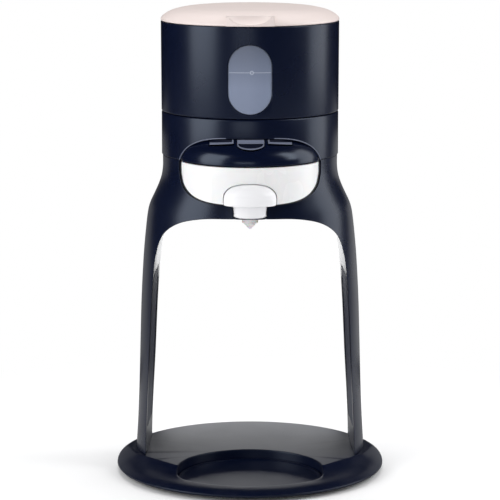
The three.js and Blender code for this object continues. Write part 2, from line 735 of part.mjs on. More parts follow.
function makeTank() {
  const tank = new THREE.Group();
  root.add(tank);
  const edge = 0.7;
  let sleeve = turned([
    [0, TANK_BOTTOM],
    [BODY_RADIUS - edge, TANK_BOTTOM],
    [60.6, TANK_BOTTOM + edge],
    [60.9, TANK_TOP],
    [0, TANK_TOP],
  ]);
  sleeve = sleeve.subtract(bar(58.4, TANK_BOTTOM + 2, TANK_TOP + 5, 0, 0, ROUND));
  sleeve = sleeve.subtract(bar(12, 240, 260));
  const windowCut = pushedBack(windowShape(0), -70, -40, 16).translate([0, 0, WINDOW.z]);
  sleeve = sleeve.subtract(windowCut);
  // A notch at the back takes the lid's hinge; an ear on each side of it holds the pin.
  const notch = block(-HINGE.halfWidth - 0.4, HINGE.halfWidth + 0.4, 50, 70, 303.5, TANK_TOP + 2);
  sleeve = sleeve.subtract(notch);
  for (const side of [-1, 1]) {
    const near = HINGE.halfWidth + 0.4;
    const ear = side < 0 ? block(-near - 4, -near, 52.5, 57.5, 304, 313) : block(near, near + 4, 52.5, 57.5, 304, 313);
    const held = ear.add(crossBar(HINGE.barrelRadius, side < 0 ? -near - 4 : near, side < 0 ? -near : near + 4, HINGE.y - 0.6, HINGE.z));
    sleeve = sleeve.add(held.intersect(bar(60, 300, 314, 0, 0, ROUND)));
  }
  sleeve = sleeve.subtract(crossBar(HINGE.pinRadius + 0.3, -HINGE.halfWidth - 3.6, HINGE.halfWidth + 3.6, HINGE.y, HINGE.z, 20));
  add("tank_sleeve", sleeve, "navy", tank);
  add("hinge_pin", crossBar(HINGE.pinRadius, -HINGE.halfWidth - 3.2, HINGE.halfWidth + 3.2, HINGE.y, HINGE.z, 20), "steel", tank);

  const inner = LINER.radius - LINER.wall;
  let liner = turned([
    [0, LINER.low],
    [LINER.radius, LINER.low],
    [LINER.radius, LINER.high],
    [52.6, LINER.high],
    [52.6, LINER.high - 1.8],
    [inner, LINER.high - 3.2],
    [inner, LINER.low + 1.8],
    [0, LINER.low + 1.8],
  ]);
  const pane = pushedBack(windowShape(0.35), -70, -40, 16).translate([0, 0, WINDOW.z]);
  liner = liner.add(pane.intersect(bar(60.2, 240, 320, 0, 0, ROUND)).subtract(bar(LINER.radius - 0.5, 240, 320, 0, 0, ROUND)));
  liner = liner.subtract(bar(5.6, 250, 262));
  add("water_tank", liner, "clearTank", tank);

  // The valve hangs under the tank's floor: a holed cup with a sprung plunger that the socket's pin keeps open.
  let valve = turned(
    [
      [6.4, 248.6],
      [7.8, 248.6],
      [8.4, 249.4],
      [8.4, 255.1],
      [11, 255.1],
      [11, 257.3],
      [0, 257.3],
      [0, 256.2],
      [6.4, 256.2],
    ],
    0,
    24,
  );
  valve = valve.subtract(bar(2, 250, 260, 0, 0, 16));
  for (let i = 0; i < 4; i++) {
    const turn = (i * Math.PI) / 2;
    valve = valve.subtract(bar(1, 250, 260, 4.2 * Math.cos(turn), 4.2 * Math.sin(turn), 10));
  }
  add("valve_body", valve, "white", tank);

  const plunger = turned(
    [
      [0, 249.8],
      [1.5, 249.8],
      [1.5, 250.2],
      [5, 250.2],
      [5, 251.1],
      [1.5, 251.1],
      [1.5, 260.6],
      [7.4, 260.6],
      [7.4, 262],
      [0, 262.6],
    ],
    0,
    20,
  );
  add("valve_plunger", plunger, "silicone", tank);

  const turns = 2.5;
  const coil = { radius: 3.4, wire: 0.35, low: 251.8, high: 255.5 };
  const steps = turns * 8;
  const middle = new THREE.CatmullRomCurve3(
    Array.from({ length: steps + 1 }, (_, i) => {
      const turn = (i * 2 * Math.PI) / 8;
      const z = coil.low + ((coil.high - coil.low) * i) / steps;
      return new THREE.Vector3(coil.radius * Math.cos(turn), coil.radius * Math.sin(turn), z);
    }),
  );
  const wire = new THREE.Shape(
    Array.from({ length: 5 }, (_, i) => {
      const turn = (i * 2 * Math.PI) / 5;
      return new THREE.Vector2(coil.wire * Math.cos(turn), coil.wire * Math.sin(turn));
    }),
  );
  const spring = new THREE.ExtrudeGeometry(wire, { steps, extrudePath: middle, bevelEnabled: false });
  add("valve_spring", solid(spring), "steel", tank);
}

// The lid: a low dome with a sloping rim, a finger tab in front and a hinge barrel behind.
const PLUG_BOTTOM = 304.6;

function makeLid() {
  let lid = turned([
    [0, 321.6],
    [44, 320.4],
    [51, 316.4],
    [51, PLUG_BOTTOM],
    [54, PLUG_BOTTOM],
    [54, LID_BOTTOM],
    [60.6, LID_BOTTOM],
    [60.9, LID_BOTTOM + 0.4],
    [60.4, LID_BOTTOM + 1.9],
    [57.6, 318.7],
    [53, 321],
    [46, 322.5],
    [32, 323.8],
    [0, LID_TOP],
  ]);
  const tab = { top: 320.7, half: 16, reach: 61.6 };
  const platform = block(-tab.half, tab.half, -tab.reach, -46, LID_BOTTOM, tab.top);
  lid = lid.add(platform.intersect(bar(tab.reach, 300, 330, 0, 0, 80)));
  const scoop = new THREE.SphereGeometry(1, 20, 12).scale(15.9, 10, 7.5).translate(0, -63.6, tab.top + 1.7);
  lid = lid.subtract(solid(scoop));
  const barrelHalf = HINGE.halfWidth - 0.4;
  let barrel = crossBar(HINGE.barrelRadius, -barrelHalf, barrelHalf, HINGE.y, HINGE.z);
  barrel = barrel.add(block(-barrelHalf, barrelHalf, HINGE.y - 2.4, HINGE.y + 1.6, HINGE.z, LID_BOTTOM + 1));
  lid = lid.add(barrel);
  lid = lid.subtract(crossBar(HINGE.pinRadius + 0.3, -20, 20, HINGE.y, HINGE.z, 20));
  add("lid", lid, "lidPink");
  const seal = [[51, 303.3], [54, 303.3], [54, PLUG_BOTTOM - GAP], [51, PLUG_BOTTOM - GAP]];
  add("lid_seal", turned(seal), "silicone");
}

// The powder drawer: a white bowl with a round front, a domed handle and a silicone nozzle.
function bowlRing(inset, z) {
  const radius = BOWL_RADIUS - inset;
  const half = BOWL_HALF_WIDTH - inset;
  const points = [];
  const start = Math.acos(half / radius);
  const arcSteps = 24;
  for (let i = 0; i <= arcSteps; i++) {
    const turn = start + ((Math.PI - 2 * start) * i) / arcSteps;
    points.push([radius * Math.cos(turn), BOWL_Y - radius * Math.sin(turn)]);
  }
  const back = BAY_BACK - 1.6 - inset;
  const corner = 26 - inset * 0.5;
  const backSteps = 5;
  for (let i = 0; i <= backSteps; i++) {
    const turn = Math.PI - (Math.PI / 2) * (i / backSteps);
    points.push([-half + corner + corner * Math.cos(turn), back - corner + corner * Math.sin(turn)]);
  }
  for (let i = 0; i <= backSteps; i++) {
    const turn = Math.PI / 2 - (Math.PI / 2) * (i / backSteps);
    points.push([half - corner + corner * Math.cos(turn), back - corner + corner * Math.sin(turn)]);
  }
  return points.reverse().map(([x, y]) => new THREE.Vector3(x, y, z));
}

const HANDLE = { halfWidth: 17.5, low: 196.9, brow: 201.2, top: 210.8, front: -79.5 };
const NECK = { top: 11.4, bottom: 10.4, low: 188.2 };
const NECK_Y = -66;
const SOLE = { top: 187.9, low: 186.7, half: 10.5, shoulder: -60 };
const NOZZLE_TOP = 190.4;

// The bowl's outside, or with an inset its inside: the bay's front view where it meets a round-fronted plan.
function bowlBody(inset, bottom, top) {
  const levels = [
    [bottom, inset + 1.4],
    [bottom + 0.5, inset + 0.5],
    [bottom + 1.6, inset],
    [top, inset],
  ];
  const plan = lofted(levels.map(([z, drawnIn]) => bowlRing(drawnIn, z)));
  return plan.intersect(pushedBack(bayShape(BOWL_HALF_WIDTH - inset, bottom, top + 1), -90, BAY_BACK));
}

function makeDrawer() {
  const drawer = new THREE.Group();
  root.add(drawer);
  const wall = 1.8;
  const floor = BOWL_BOTTOM + wall;
  let bowl = bowlBody(0, BOWL_BOTTOM, BOWL_TOP).subtract(bowlBody(wall, floor, BOWL_TOP + 2));
  // A short funnel leads to the nozzle on the pouring axis.
  bowl = bowl.add(bar(7.8, NOZZLE_TOP + GAP, floor, 0, POUR_Y));
  const throat = turned([[0, 185], [3.2, 185], [3.2, 193], [6, floor + 1.5], [0, floor + 1.5]], POUR_Y, SMALL_ROUND);
  bowl = bowl.subtract(throat).subtract(handleBody(0.4));
  add("drawer_bowl", bowl, "white", drawer);
  add("drawer_handle", handleBody(0), "white", drawer);

  const nozzle = turned(
    [
      [3.2, NOZZLE_TOP],
      [3.2, 182.4],
      [0.5, 176.6],
      [0.9, 175.8],
      [4.9, 179.9],
      [5.5, 180.2],
      [5.5, 183],
      [7.2, 184.6],
      [7.2, NOZZLE_TOP],
    ],
    POUR_Y,
    SMALL_ROUND,
  );
  add("pour_nozzle", nozzle, "silicone", drawer);

  // A thin dark sole under the neck closes the notch round the nozzle and slides out with the drawer.
  let sole = bar(SOLE.half, SOLE.low, SOLE.top, 0, POUR_Y, 32);
  sole = sole.add(block(-SOLE.half, SOLE.half, SOLE.shoulder, POUR_Y, SOLE.low, SOLE.top));
  const front = [SOLE.low, SOLE.top].map((z) => ovalRing(9.8, 6.4, NECK_Y, z));
  sole = sole.add(lofted(front));
  sole = sole.subtract(bar(7.2 + GAP, 180, 190, 0, POUR_Y));
  add("drawer_sole", sole, "navy", drawer);
}

function ovalRing(halfX, halfY, y, z) {
  const facets = 36;
  return Array.from({ length: facets }, (_, i) => {
    const turn = (i * 2 * Math.PI) / facets;
    return new THREE.Vector3(halfX * Math.cos(turn), y + halfY * Math.sin(turn), z);
  });
}

// The handle: a domed cap across the drawer's front over a neck that fills the bridge's notch.
function handleBody(grow) {
  const reach = 10.5;
  const axisY = HANDLE.front + reach;
  const oval = (z, halfX, halfY, y) => ovalRing(halfX + grow, halfY + grow, y, z);
  const dome = [
    [HANDLE.brow, 1],
    [204.2, 0.96],
    [207, 0.84],
    [209.2, 0.66],
    [HANDLE.top, 0.34],
  ];
  const cap = lofted([
    oval(HANDLE.low - grow, HANDLE.halfWidth, reach, axisY),
    ...dome.map(([z, share]) => oval(z + grow, HANDLE.halfWidth * share, reach * share, axisY)),
  ]);
  const neck = lofted([
    oval(NECK.low - grow, NECK.bottom - 0.8, 6.2, NECK_Y),
    oval(NECK.low + 0.8 - grow, NECK.bottom, 7, NECK_Y),
    oval(HANDLE.low + 1, NECK.top, 7.6, NECK_Y),
  ]);
  return cap.add(neck);
}

makeBase();
makeStand();
makeBody();
makeHood();
makeWaterPath();
makeTank();
makeLid();
makeDrawer();

export default root;
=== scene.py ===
"""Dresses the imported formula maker: fine shells over the frame, finishes, floor, lamps and camera."""

import math

import bmesh
import bpy
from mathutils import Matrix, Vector


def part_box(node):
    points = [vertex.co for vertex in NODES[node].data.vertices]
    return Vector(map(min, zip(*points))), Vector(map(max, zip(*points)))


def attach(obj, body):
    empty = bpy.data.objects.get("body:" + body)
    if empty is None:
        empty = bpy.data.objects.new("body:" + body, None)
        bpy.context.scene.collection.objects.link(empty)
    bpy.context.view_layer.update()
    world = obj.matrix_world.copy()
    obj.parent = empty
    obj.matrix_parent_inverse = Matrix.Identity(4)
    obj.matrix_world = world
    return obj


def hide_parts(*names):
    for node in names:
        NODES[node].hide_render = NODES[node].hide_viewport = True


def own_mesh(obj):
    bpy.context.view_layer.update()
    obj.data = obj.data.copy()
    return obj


bl_info = {
    "name": "Formula maker dresser",
    "version": (1, 0, 0),
    "blender": (4, 5, 0),
    "location": "3D View > Sidebar > Formula maker",
    "description": "Builds the fine shells and finishes of a formula maker around its packed frame",
    "category": "Object",
}

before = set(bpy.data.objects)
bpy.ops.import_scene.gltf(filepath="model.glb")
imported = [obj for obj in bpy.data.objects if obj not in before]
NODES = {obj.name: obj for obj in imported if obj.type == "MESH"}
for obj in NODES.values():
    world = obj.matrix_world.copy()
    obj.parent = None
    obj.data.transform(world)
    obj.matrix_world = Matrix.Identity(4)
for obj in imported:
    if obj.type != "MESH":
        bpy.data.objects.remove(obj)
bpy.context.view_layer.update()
MM = 0.001

# Places read off the frame, in metres.
BASE_LOW, BASE_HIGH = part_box("base_plate")
TRAY_LOW, TRAY_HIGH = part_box("drip_tray")
STAND_LOW, STAND_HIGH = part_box("stand_frame")
BODY_LOW, BODY_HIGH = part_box("body_shell")
HOOD_LOW, HOOD_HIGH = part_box("hood")
SLEEVE_LOW, SLEEVE_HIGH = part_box("tank_sleeve")
LINER_LOW, LINER_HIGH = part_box("water_tank")
LID_LOW, LID_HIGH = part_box("lid")
BOWL_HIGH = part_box("drawer_bowl")[1]
HANDLE_LOW, HANDLE_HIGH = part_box("drawer_handle")
NOZZLE_LOW, NOZZLE_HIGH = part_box("pour_nozzle")
PIN_LOW, PIN_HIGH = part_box("hinge_pin")

POUR_Y = (NOZZLE_LOW.y + NOZZLE_HIGH.y) / 2
POUR = (0.0, POUR_Y)
HINGE_Y = (PIN_LOW.y + PIN_HIGH.y) / 2
HINGE_Z = (PIN_LOW.z + PIN_HIGH.z) / 2
BODY_RADIUS = BODY_HIGH.x

# Cutters that enter from the front start here, clear of everything over the base.
FRONT = -0.09

# How many sides a large round piece has.
FINE = 160


# The sizes and colours that a user may change.
class FormulaMakerShape(bpy.types.PropertyGroup):
    edge_round: bpy.props.FloatProperty(
        name="Edge rounding",
        description="Radius of the small moulded edges",
        default=0.0007,
        unit="LENGTH",
    )
    hood_centre_y: bpy.props.FloatProperty(
        name="Hood centre",
        description="Centre of the round drawer and hood, front is negative",
        default=HOOD_LOW.y + 0.05,
        unit="LENGTH",
    )
    window_half_width: bpy.props.FloatProperty(
        name="Window half width",
        description="Half the width of the tank's window",
        default=0.0147,
        unit="LENGTH",
    )
    window_half_height: bpy.props.FloatProperty(
        name="Window half height",
        description="Half the height of the tank's window",
        default=0.0232,
        unit="LENGTH",
    )
    window_z: bpy.props.FloatProperty(
        name="Window height",
        description="Height of the window's middle",
        default=0.2789,
        unit="LENGTH",
    )
    fill_mark_z: bpy.props.FloatProperty(
        name="Fill mark",
        description="Height of the moulded fill mark in the window",
        default=0.2837,
        unit="LENGTH",
    )


COLOUR = {"subtype": "COLOR", "size": 3}


class FormulaMakerColours(bpy.types.PropertyGroup):
    navy: bpy.props.FloatVectorProperty(
        name="Navy", description="Shells and stand", default=(0.0014, 0.0035, 0.0165), **COLOUR
    )
    lid: bpy.props.FloatVectorProperty(
        name="Lid", description="Pinkish beige lid", default=(0.72, 0.63, 0.605), **COLOUR
    )
    bowl: bpy.props.FloatVectorProperty(
        name="Bowl", description="White powder drawer", default=(0.77, 0.77, 0.775), **COLOUR
    )
    handle: bpy.props.FloatVectorProperty(
        name="Handle", description="Cooler white of the handle", default=(0.78, 0.78, 0.8), **COLOUR
    )
    cover: bpy.props.FloatVectorProperty(
        name="Leg covers", description="Lighter navy in the legs", default=(0.05, 0.056, 0.085), **COLOUR
    )
    # The keys' grey is a painted highlight on the keys' edges and on the arch's bead.
    keys: bpy.props.FloatVectorProperty(
        name="Keys", description="Blue grey keys", default=(0.14, 0.158, 0.225), **COLOUR
    )
    window: bpy.props.FloatVectorProperty(
        name="Window", description="Tinted tank plastic", default=(0.2, 0.237, 0.338), **COLOUR
    )
    silicone: bpy.props.FloatVectorProperty(
        name="Silicone", description="Nozzle, seals and hoses", default=(0.78, 0.78, 0.79), **COLOUR
    )


def shape():
    return bpy.context.scene.formula_maker_shape


def colours():
    return bpy.context.scene.formula_maker_colours


# Lines and rings of points.
def turns(sides):
    """The (cosine, sine) pairs of equal turns round a full circle."""
    return [(math.cos(2 * math.pi * i / sides), math.sin(2 * math.pi * i / sides)) for i in range(sides)]


def arc(start, sweep, steps):
    """The (cosine, sine) pairs of equal turns along an arc, with both its ends."""
    angles = [start + sweep * k / steps for k in range(steps + 1)]
    return [(math.cos(angle), math.sin(angle)) for angle in angles]


def in_metres(points):
    """Points in metres from points in millimetres."""
    return [tuple(value * MM for value in point) for point in points]


def mirrored(line):
    """The other half of a line of (x, z) pairs, walked on from its end."""
    return [(-x, z) for x, z in reversed(line)]


def capped(line, level):
    """A closed outline from a line of (x, z) pairs and two corners at a level over or under its ends."""
    return [(line[0][0], level)] + line + [(line[-1][0], level)]


def neighbours(line, i):
    """The points before and after a point of a line, or the point itself at an end."""
    return line[max(i - 1, 0)], line[min(i + 1, len(line) - 1)]


def eased(table, z):
    """A smooth value read off (height, value) pairs in rising order of height."""
    if z <= table[0][0]:
        return table[0][1]
    for i in range(len(table) - 1):
        z0, v0 = table[i]
        z1, v1 = table[i + 1]
        if z > z1:
            continue
        before = table[max(i - 1, 0)]
        after = table[min(i + 2, len(table) - 1)]
        step = z1 - z0
        m0 = (v1 - before[1]) / (z1 - before[0]) * step
        m1 = (after[1] - v0) / (after[0] - z0) * step
        t = (z - z0) / step
        from_ends = (2 * t**3 - 3 * t**2 + 1) * v0 + (-2 * t**3 + 3 * t**2) * v1
        return from_ends + (t**3 - 2 * t**2 + t) * m0 + (t**3 - t**2) * m1
    return table[-1][1]


def spline(p0, p1, p2, p3, t):
    """A value between p1 and p2 on the smooth curve through four values."""
    straight = 2 * p1 + (p2 - p0) * t
    return 0.5 * (straight + (2 * p0 - 5 * p1 + 4 * p2 - p3) * t**2 + (3 * p1 - p0 - 3 * p2 + p3) * t**3)


def curve_through(points, per_step=8):
    """A smooth open line of (a, b) pairs through the given ones."""
    line = []
    for i in range(len(points) - 1):
        near = (points[max(i - 1, 0)], points[i], points[i + 1], points[min(i + 2, len(points) - 1)])
        for k in range(per_step):
            line.append(tuple(spline(*values, k / per_step) for values in zip(*near)))
    line.append(points[-1])
    return line


# Meshes.
def mesh_piece(name, points, faces):
    """A new object from points and faces."""
    mesh = bpy.data.meshes.new(name)
    mesh.from_pydata([tuple(p) for p in points], [], faces)
    mesh.validate()
    piece = bpy.data.objects.new(name, mesh)
    bpy.context.scene.collection.objects.link(piece)
    return piece


def face_outwards(piece):
    """Turns every face of a closed mesh out."""
    work = bmesh.new()
    work.from_mesh(piece.data)
    bmesh.ops.recalc_face_normals(work, faces=work.faces)
    if work.calc_volume(signed=True) < 0:
        bmesh.ops.reverse_faces(work, faces=work.faces)
    work.to_mesh(piece.data)
    work.free()
    return piece


def turned(name, profile, centre=(0.0, 0.0), sides=FINE):
    """A closed profile of (radius, height) pairs turned about an upright axis."""
    points, faces, rows = [], [], []
    for radius, height in profile:
        if radius == 0:
            rows.append([len(points)])
            points.append((*centre, height))
            continue
        rows.append(list(range(len(points), len(points) + sides)))
        points += [(centre[0] + radius * a, centre[1] + radius * b, height) for a, b in turns(sides)]
    for k, low in enumerate(rows):
        high = rows[(k + 1) % len(rows)]
        if len(low) == 1 and len(high) == 1:
            continue
        for i in range(sides):
            j = (i + 1) % sides
            if len(low) == 1:
                faces.append((low[0], high[j], high[i]))
            elif len(high) == 1:
                faces.append((low[i], low[j], high[0]))
            else:
                faces.append((low[i], low[j], high[j], high[i]))
    return face_outwards(mesh_piece(name, points, faces))


def lofted(name, rings):
    """A skin over a stack of closed rings of equally many points, capped at both ends."""
    count = len(rings[0])
    points = [p for ring in rings for p in ring]
    faces = []
    for k in range(len(rings) - 1):
        for i in range(count):
            a, b = k * count + i, k * count + (i + 1) % count
            faces.append((a, b, b + count, a + count))
    top = (len(rings) - 1) * count
    faces.append(tuple(reversed(range(count))))
    faces.append(tuple(top + i for i in range(count)))
    return face_outwards(mesh_piece(name, points, faces))


def drum(name, radius, low, high, centre=(0.0, 0.0), sides=FINE):
    """A plain upright cylinder between two heights."""
    return turned(name, [(0.0, low), (radius, low), (radius, high), (0.0, high)], centre, sides)


def pushed_back(name, outline, y0, y1):
    """An outline of (x, z) pairs pushed from y0 to y1."""
    return lofted(name, [[(x, y, z) for x, z in outline] for y in (y0, y1)])


def block(name, low, high):
    """A plain box between two corners."""
    ring = [(low[0], low[1]), (high[0], low[1]), (high[0], high[1]), (low[0], high[1])]
    return lofted(name, [[(x, y, z) for x, y in ring] for z in (low[2], high[2])])


def cross_bar(name, radius, x0, x1, y, z):
    """A round bar along X."""
    return lofted(name, [[(x, y + radius * a, z + radius * b) for a, b in turns(40)] for x in (x0, x1)])


def combined(piece, other, way):
    """Joins, cuts or keeps the common part of two closed pieces, and removes the second."""
    step = piece.modifiers.new("combine", "BOOLEAN")
    step.operation = way
    step.solver = "EXACT"
    step.object = other
    shown = piece.evaluated_get(bpy.context.evaluated_depsgraph_get())
    mesh = bpy.data.meshes.new_from_object(shown)
    piece.modifiers.clear()
    piece.data = mesh
    bpy.data.objects.remove(other)
    return piece


def cut(piece, other):
    return combined(piece, other, "DIFFERENCE")


def joined(piece, other):
    return combined(piece, other, "UNION")


def common(piece, other):
    return combined(piece, other, "INTERSECT")


def smoothed(piece, angle):
    """Smooth shading except across edges sharper than the angle in degrees."""
    mesh = piece.data
    mesh.polygons.foreach_set("use_smooth", [True] * len(mesh.polygons))
    mesh.set_sharp_from_angle(angle=math.radians(angle))
    mesh.update()


# Shader nodes, and the groups that several finishes share.
def feed(tree, target, sockets):
    """Gives each of a node's named sockets a plain value or another node's output."""
    for key, value in sockets.items():
        if isinstance(value, bpy.types.NodeSocket):
            tree.links.new(value, target.inputs[key])
        else:
            target.inputs[key].default_value = value


def node(tree, kind, sockets=None, **values):
    """A new shader node with its settings and its fed sockets."""
    made = tree.nodes.new(kind)
    for key, value in values.items():
        setattr(made, key, value)
    feed(tree, made, sockets or {})
    return made


def arithmetic(tree, operation, *terms):
    """What a math node makes of its terms."""
    return node(tree, "ShaderNodeMath", dict(enumerate(terms)), operation=operation).outputs[0]


def ranged(tree, value, low, high, first=0.0, last=1.0, **values):
    """A value taken from the range low to high onto the range first to last."""
    sockets = {"Value": value, "From Min": low, "From Max": high, "To Min": first, "To Max": last}
    return node(tree, "ShaderNodeMapRange", sockets, **values).outputs["Result"]


def bumped(tree, height, strength, **sockets):
    """A normal bent by a height of a tenth of a millimetre."""
    sockets = {"Height": height, "Strength": strength, "Distance": 0.0001, **sockets}
    return node(tree, "ShaderNodeBump", sockets).outputs["Normal"]


def noise(tree, place, **sockets):
    """Plain noise at a place."""
    sockets = {key.title(): value for key, value in sockets.items()}
    return node(tree, "ShaderNodeTexNoise", {"Vector": place, **sockets}).outputs["Fac"]


def object_place(tree):
    """The shaded point in the object's own space."""
    return node(tree, "ShaderNodeTexCoord").outputs["Object"]


def group_with(name, inputs, outputs):
    """A new shader node group with its sockets, what it is given, and its output node."""
    group = bpy.data.node_groups.new(name, "ShaderNodeTree")
    for label, kind, value in inputs:
        socket = group.interface.new_socket(name=label, in_out="INPUT", socket_type=kind)
        socket.default_value = value
    for label, kind in outputs:
        group.interface.new_socket(name=label, in_out="OUTPUT", socket_type=kind)
    return group, group.nodes.new("NodeGroupInput").outputs, group.nodes.new("NodeGroupOutput")


def moulding_group():
    """Moulded plastic: faint clouding of colour and gloss, fine spark-eroded grain and rounded edges."""
    name = "moulded plastic"
    if name in bpy.data.node_groups:
        return bpy.data.node_groups[name]
    colour, number = "NodeSocketColor", "NodeSocketFloat"
    group, given, out = group_with(
        name,
        [
            ("Colour", colour, (0.1, 0.1, 0.1, 1)),
            ("Clouding", number, 0.05),
            ("Roughness", number, 0.35),
            ("Gloss variation", number, 0.05),
            ("Grain size", number, 900.0),
            ("Grain depth", number, 0.05),
            ("Edge radius", number, 0.0007),
        ],
        [("Colour", colour), ("Roughness", number), ("Normal", "NodeSocketVector")],
    )
    place = object_place(group)
    clouds = noise(group, place, scale=22, detail=3)
    grain = noise(group, place, scale=given["Grain size"], detail=2)
    darkest = arithmetic(group, "SUBTRACT", 1, given["Clouding"])
    lightest = arithmetic(group, "ADD", 1, given["Clouding"])
    shade = ranged(group, clouds, 0, 1, darkest, lightest)
    sockets = {"Factor": 1, "A": given["Colour"], "B": shade}
    tinted = node(group, "ShaderNodeMix", sockets, data_type="RGBA", blend_type="MULTIPLY")
    centred = arithmetic(group, "SUBTRACT", clouds, 0.5)
    wavering = arithmetic(group, "MULTIPLY_ADD", centred, given["Gloss variation"], given["Roughness"])
    rounded = node(group, "ShaderNodeBevel", {"Radius": given["Edge radius"]}, samples=6)
    normal = bumped(group, grain, given["Grain depth"], Normal=rounded.outputs["Normal"])
    feed(group, out, {"Colour": tinted.outputs["Result"], "Roughness": wavering, "Normal": normal})
    return group


def dust_group():
    """Fine dust and wipe marks that lie on faces that look up."""
    name = "settled dust"
    if name in bpy.data.node_groups:
        return bpy.data.node_groups[name]
    number = "NodeSocketFloat"
    inputs = [("Amount", number, 0.1), ("Scale", number, 60.0)]
    group, given, out = group_with(name, inputs, [("Mask", number)])
    place = object_place(group)
    facing = node(group, "ShaderNodeNewGeometry").outputs["Normal"]
    upwards = node(group, "ShaderNodeSeparateXYZ", {"Vector": facing}).outputs["Z"]
    specks = noise(group, place, scale=given["Scale"], detail=6, roughness=0.7)
    lying = arithmetic(group, "MULTIPLY", ranged(group, upwards, 0.3, 1), ranged(group, specks, 0.45, 0.75))
    feed(group, out, {"Mask": arithmetic(group, "MULTIPLY", lying, given["Amount"])})
    return group


# Finishes.
BLUE_SHEEN = (0.72, 0.83, 1.0)
DUST_GREY = (0.3, 0.3, 0.32, 1)


def bare_material(name):
    material = bpy.data.materials.new(name)
    material.use_nodes = True
    tree = material.node_tree
    return material, tree, tree.nodes["Principled BSDF"]


def moulded_material(
    name,
    colour,
    roughness,
    clouding=0.05,
    gloss=0.08,
    grain=1100.0,
    depth=0.04,
    edge=None,
    dust=0.0,
    specular=0.5,
    sheen=(1.0, 1.0, 1.0),
    scatter=(0.0, 0.005),
):
    """Moulded plastic or rubber of one colour; scatter is the share of light under its skin and its depth."""
    if name in bpy.data.materials:
        return bpy.data.materials[name]
    material, tree, shader = bare_material(name)
    sockets = {
        "Colour": (*colour, 1),
        "Clouding": clouding,
        "Roughness": roughness,
        "Gloss variation": gloss,
        "Grain size": grain,
        "Grain depth": depth,
        "Edge radius": shape().edge_round if edge is None else edge,
    }
    skin = node(tree, "ShaderNodeGroup", sockets, node_tree=moulding_group()).outputs
    shown = skin["Colour"]
    if dust:
        mask = node(tree, "ShaderNodeGroup", {"Amount": dust}, node_tree=dust_group()).outputs["Mask"]
        layers = {"Factor": mask, "A": shown, "B": DUST_GREY}
        shown = node(tree, "ShaderNodeMix", layers, data_type="RGBA").outputs["Result"]
    sockets = {
        "Base Color": shown,
        "Roughness": skin["Roughness"],
        "Normal": skin["Normal"],
        "Specular IOR Level": specular,
        "Specular Tint": (*sheen, 1),
        "Subsurface Weight": scatter[0],
        "Subsurface Scale": scatter[1],
    }
    feed(tree, shader, sockets)
    return material


def navy_shell():
    """Satin navy plastic of the tank, the body and the stand."""
    return moulded_material("navy_shell", colours().navy, 0.28, clouding=0.06, dust=0.02, sheen=BLUE_SHEEN)


def navy_base():
    """The base's satin navy, a little dustier than the rest."""
    return moulded_material(
        "navy_base", colours().navy, 0.34, clouding=0.08, edge=0.0016, dust=0.03, sheen=BLUE_SHEEN
    )


def navy_hood():
    """The hood's glossier navy."""
    return moulded_material("navy_hood", colours().navy, 0.22, depth=0.02, sheen=BLUE_SHEEN)


def dark_inside():
    """Matte near-black plastic of hidden floors and plates, and of the painted shadow rim round the bowl."""
    return moulded_material("dark_inside", (0.008, 0.009, 0.014), 0.6, grain=700.0, depth=0.12)


def lid_beige():
    """Pinkish beige plastic of the lid."""
    return moulded_material("lid_beige", colours().lid, 0.38, clouding=0.015, depth=0.03)


def bowl_white():
    """White plastic of the powder drawer, slightly see-through at its edges."""
    return moulded_material(
        "bowl_white", colours().bowl, 0.27, clouding=0.01, depth=0.015, edge=0.0005, scatter=(0.15, 0.002)
    )


def handle_white():
    """The handle's satin white, a little cooler than the bowl's."""
    return moulded_material("handle_white", colours().handle, 0.34, clouding=0.01, depth=0.02, edge=0.0005)


def leg_cover_navy():
    """The lighter, duller navy of the covers inside the legs."""
    return moulded_material("leg_cover_navy", colours().cover, 0.5, depth=0.08, specular=0.2)


def key_face_navy():
    """The dull navy of the keys' sunk faces."""
    return moulded_material("key_face_navy", colours().navy, 0.6, depth=0.03, edge=0.0001, specular=0.2)


def key_grey():
    """Blue grey of the keys' lips and strips and of the arch's bead: a painted highlight standing in for
    light caught on their edges.
    """
    return moulded_material("key_grey", colours().keys, 0.3, clouding=0.03, depth=0.03, edge=0.0004)


def fill_mark_pale():
    """The paler line and ring moulded into the window."""
    return moulded_material("fill_mark_pale", (0.42, 0.46, 0.56), 0.4, edge=0.0001)


def soft_silicone():
    """Pale, slightly see-through silicone of the nozzle, seals and hoses."""
    return moulded_material(
        "soft_silicone", colours().silicone, 0.5, clouding=0.02, depth=0.05, edge=0.0004, scatter=(0.3, 0.003)
    )


def tread_rubber():
    """Black rubber of the foot pads and the cord's grommet."""
    return moulded_material("tread_rubber", (0.012, 0.012, 0.013), 0.8, grain=500.0, depth=0.25)


def housing_black():
    """Black plastic of the pump and the switches."""
    return moulded_material("housing_black", (0.02, 0.02, 0.022), 0.5, grain=600.0, depth=0.15)


def brushed_steel():
    """Steel with fine lines along its length."""
    name = "brushed_steel"
    if name in bpy.data.materials:
        return bpy.data.materials[name]
    material, tree, shader = bare_material(name)
    along = {"Vector": object_place(tree), "Scale": (60, 1800, 1800)}
    lines = noise(tree, node(tree, "ShaderNodeMapping", along).outputs["Vector"], scale=1)
    sockets = {
        "Base Color": (0.6, 0.61, 0.63, 1),
        "Metallic": 1,
        "Roughness": ranged(tree, lines, 0, 1, 0.22, 0.42),
        "Normal": bumped(tree, lines, 0.1),
    }
    feed(tree, shader, sockets)
    return material


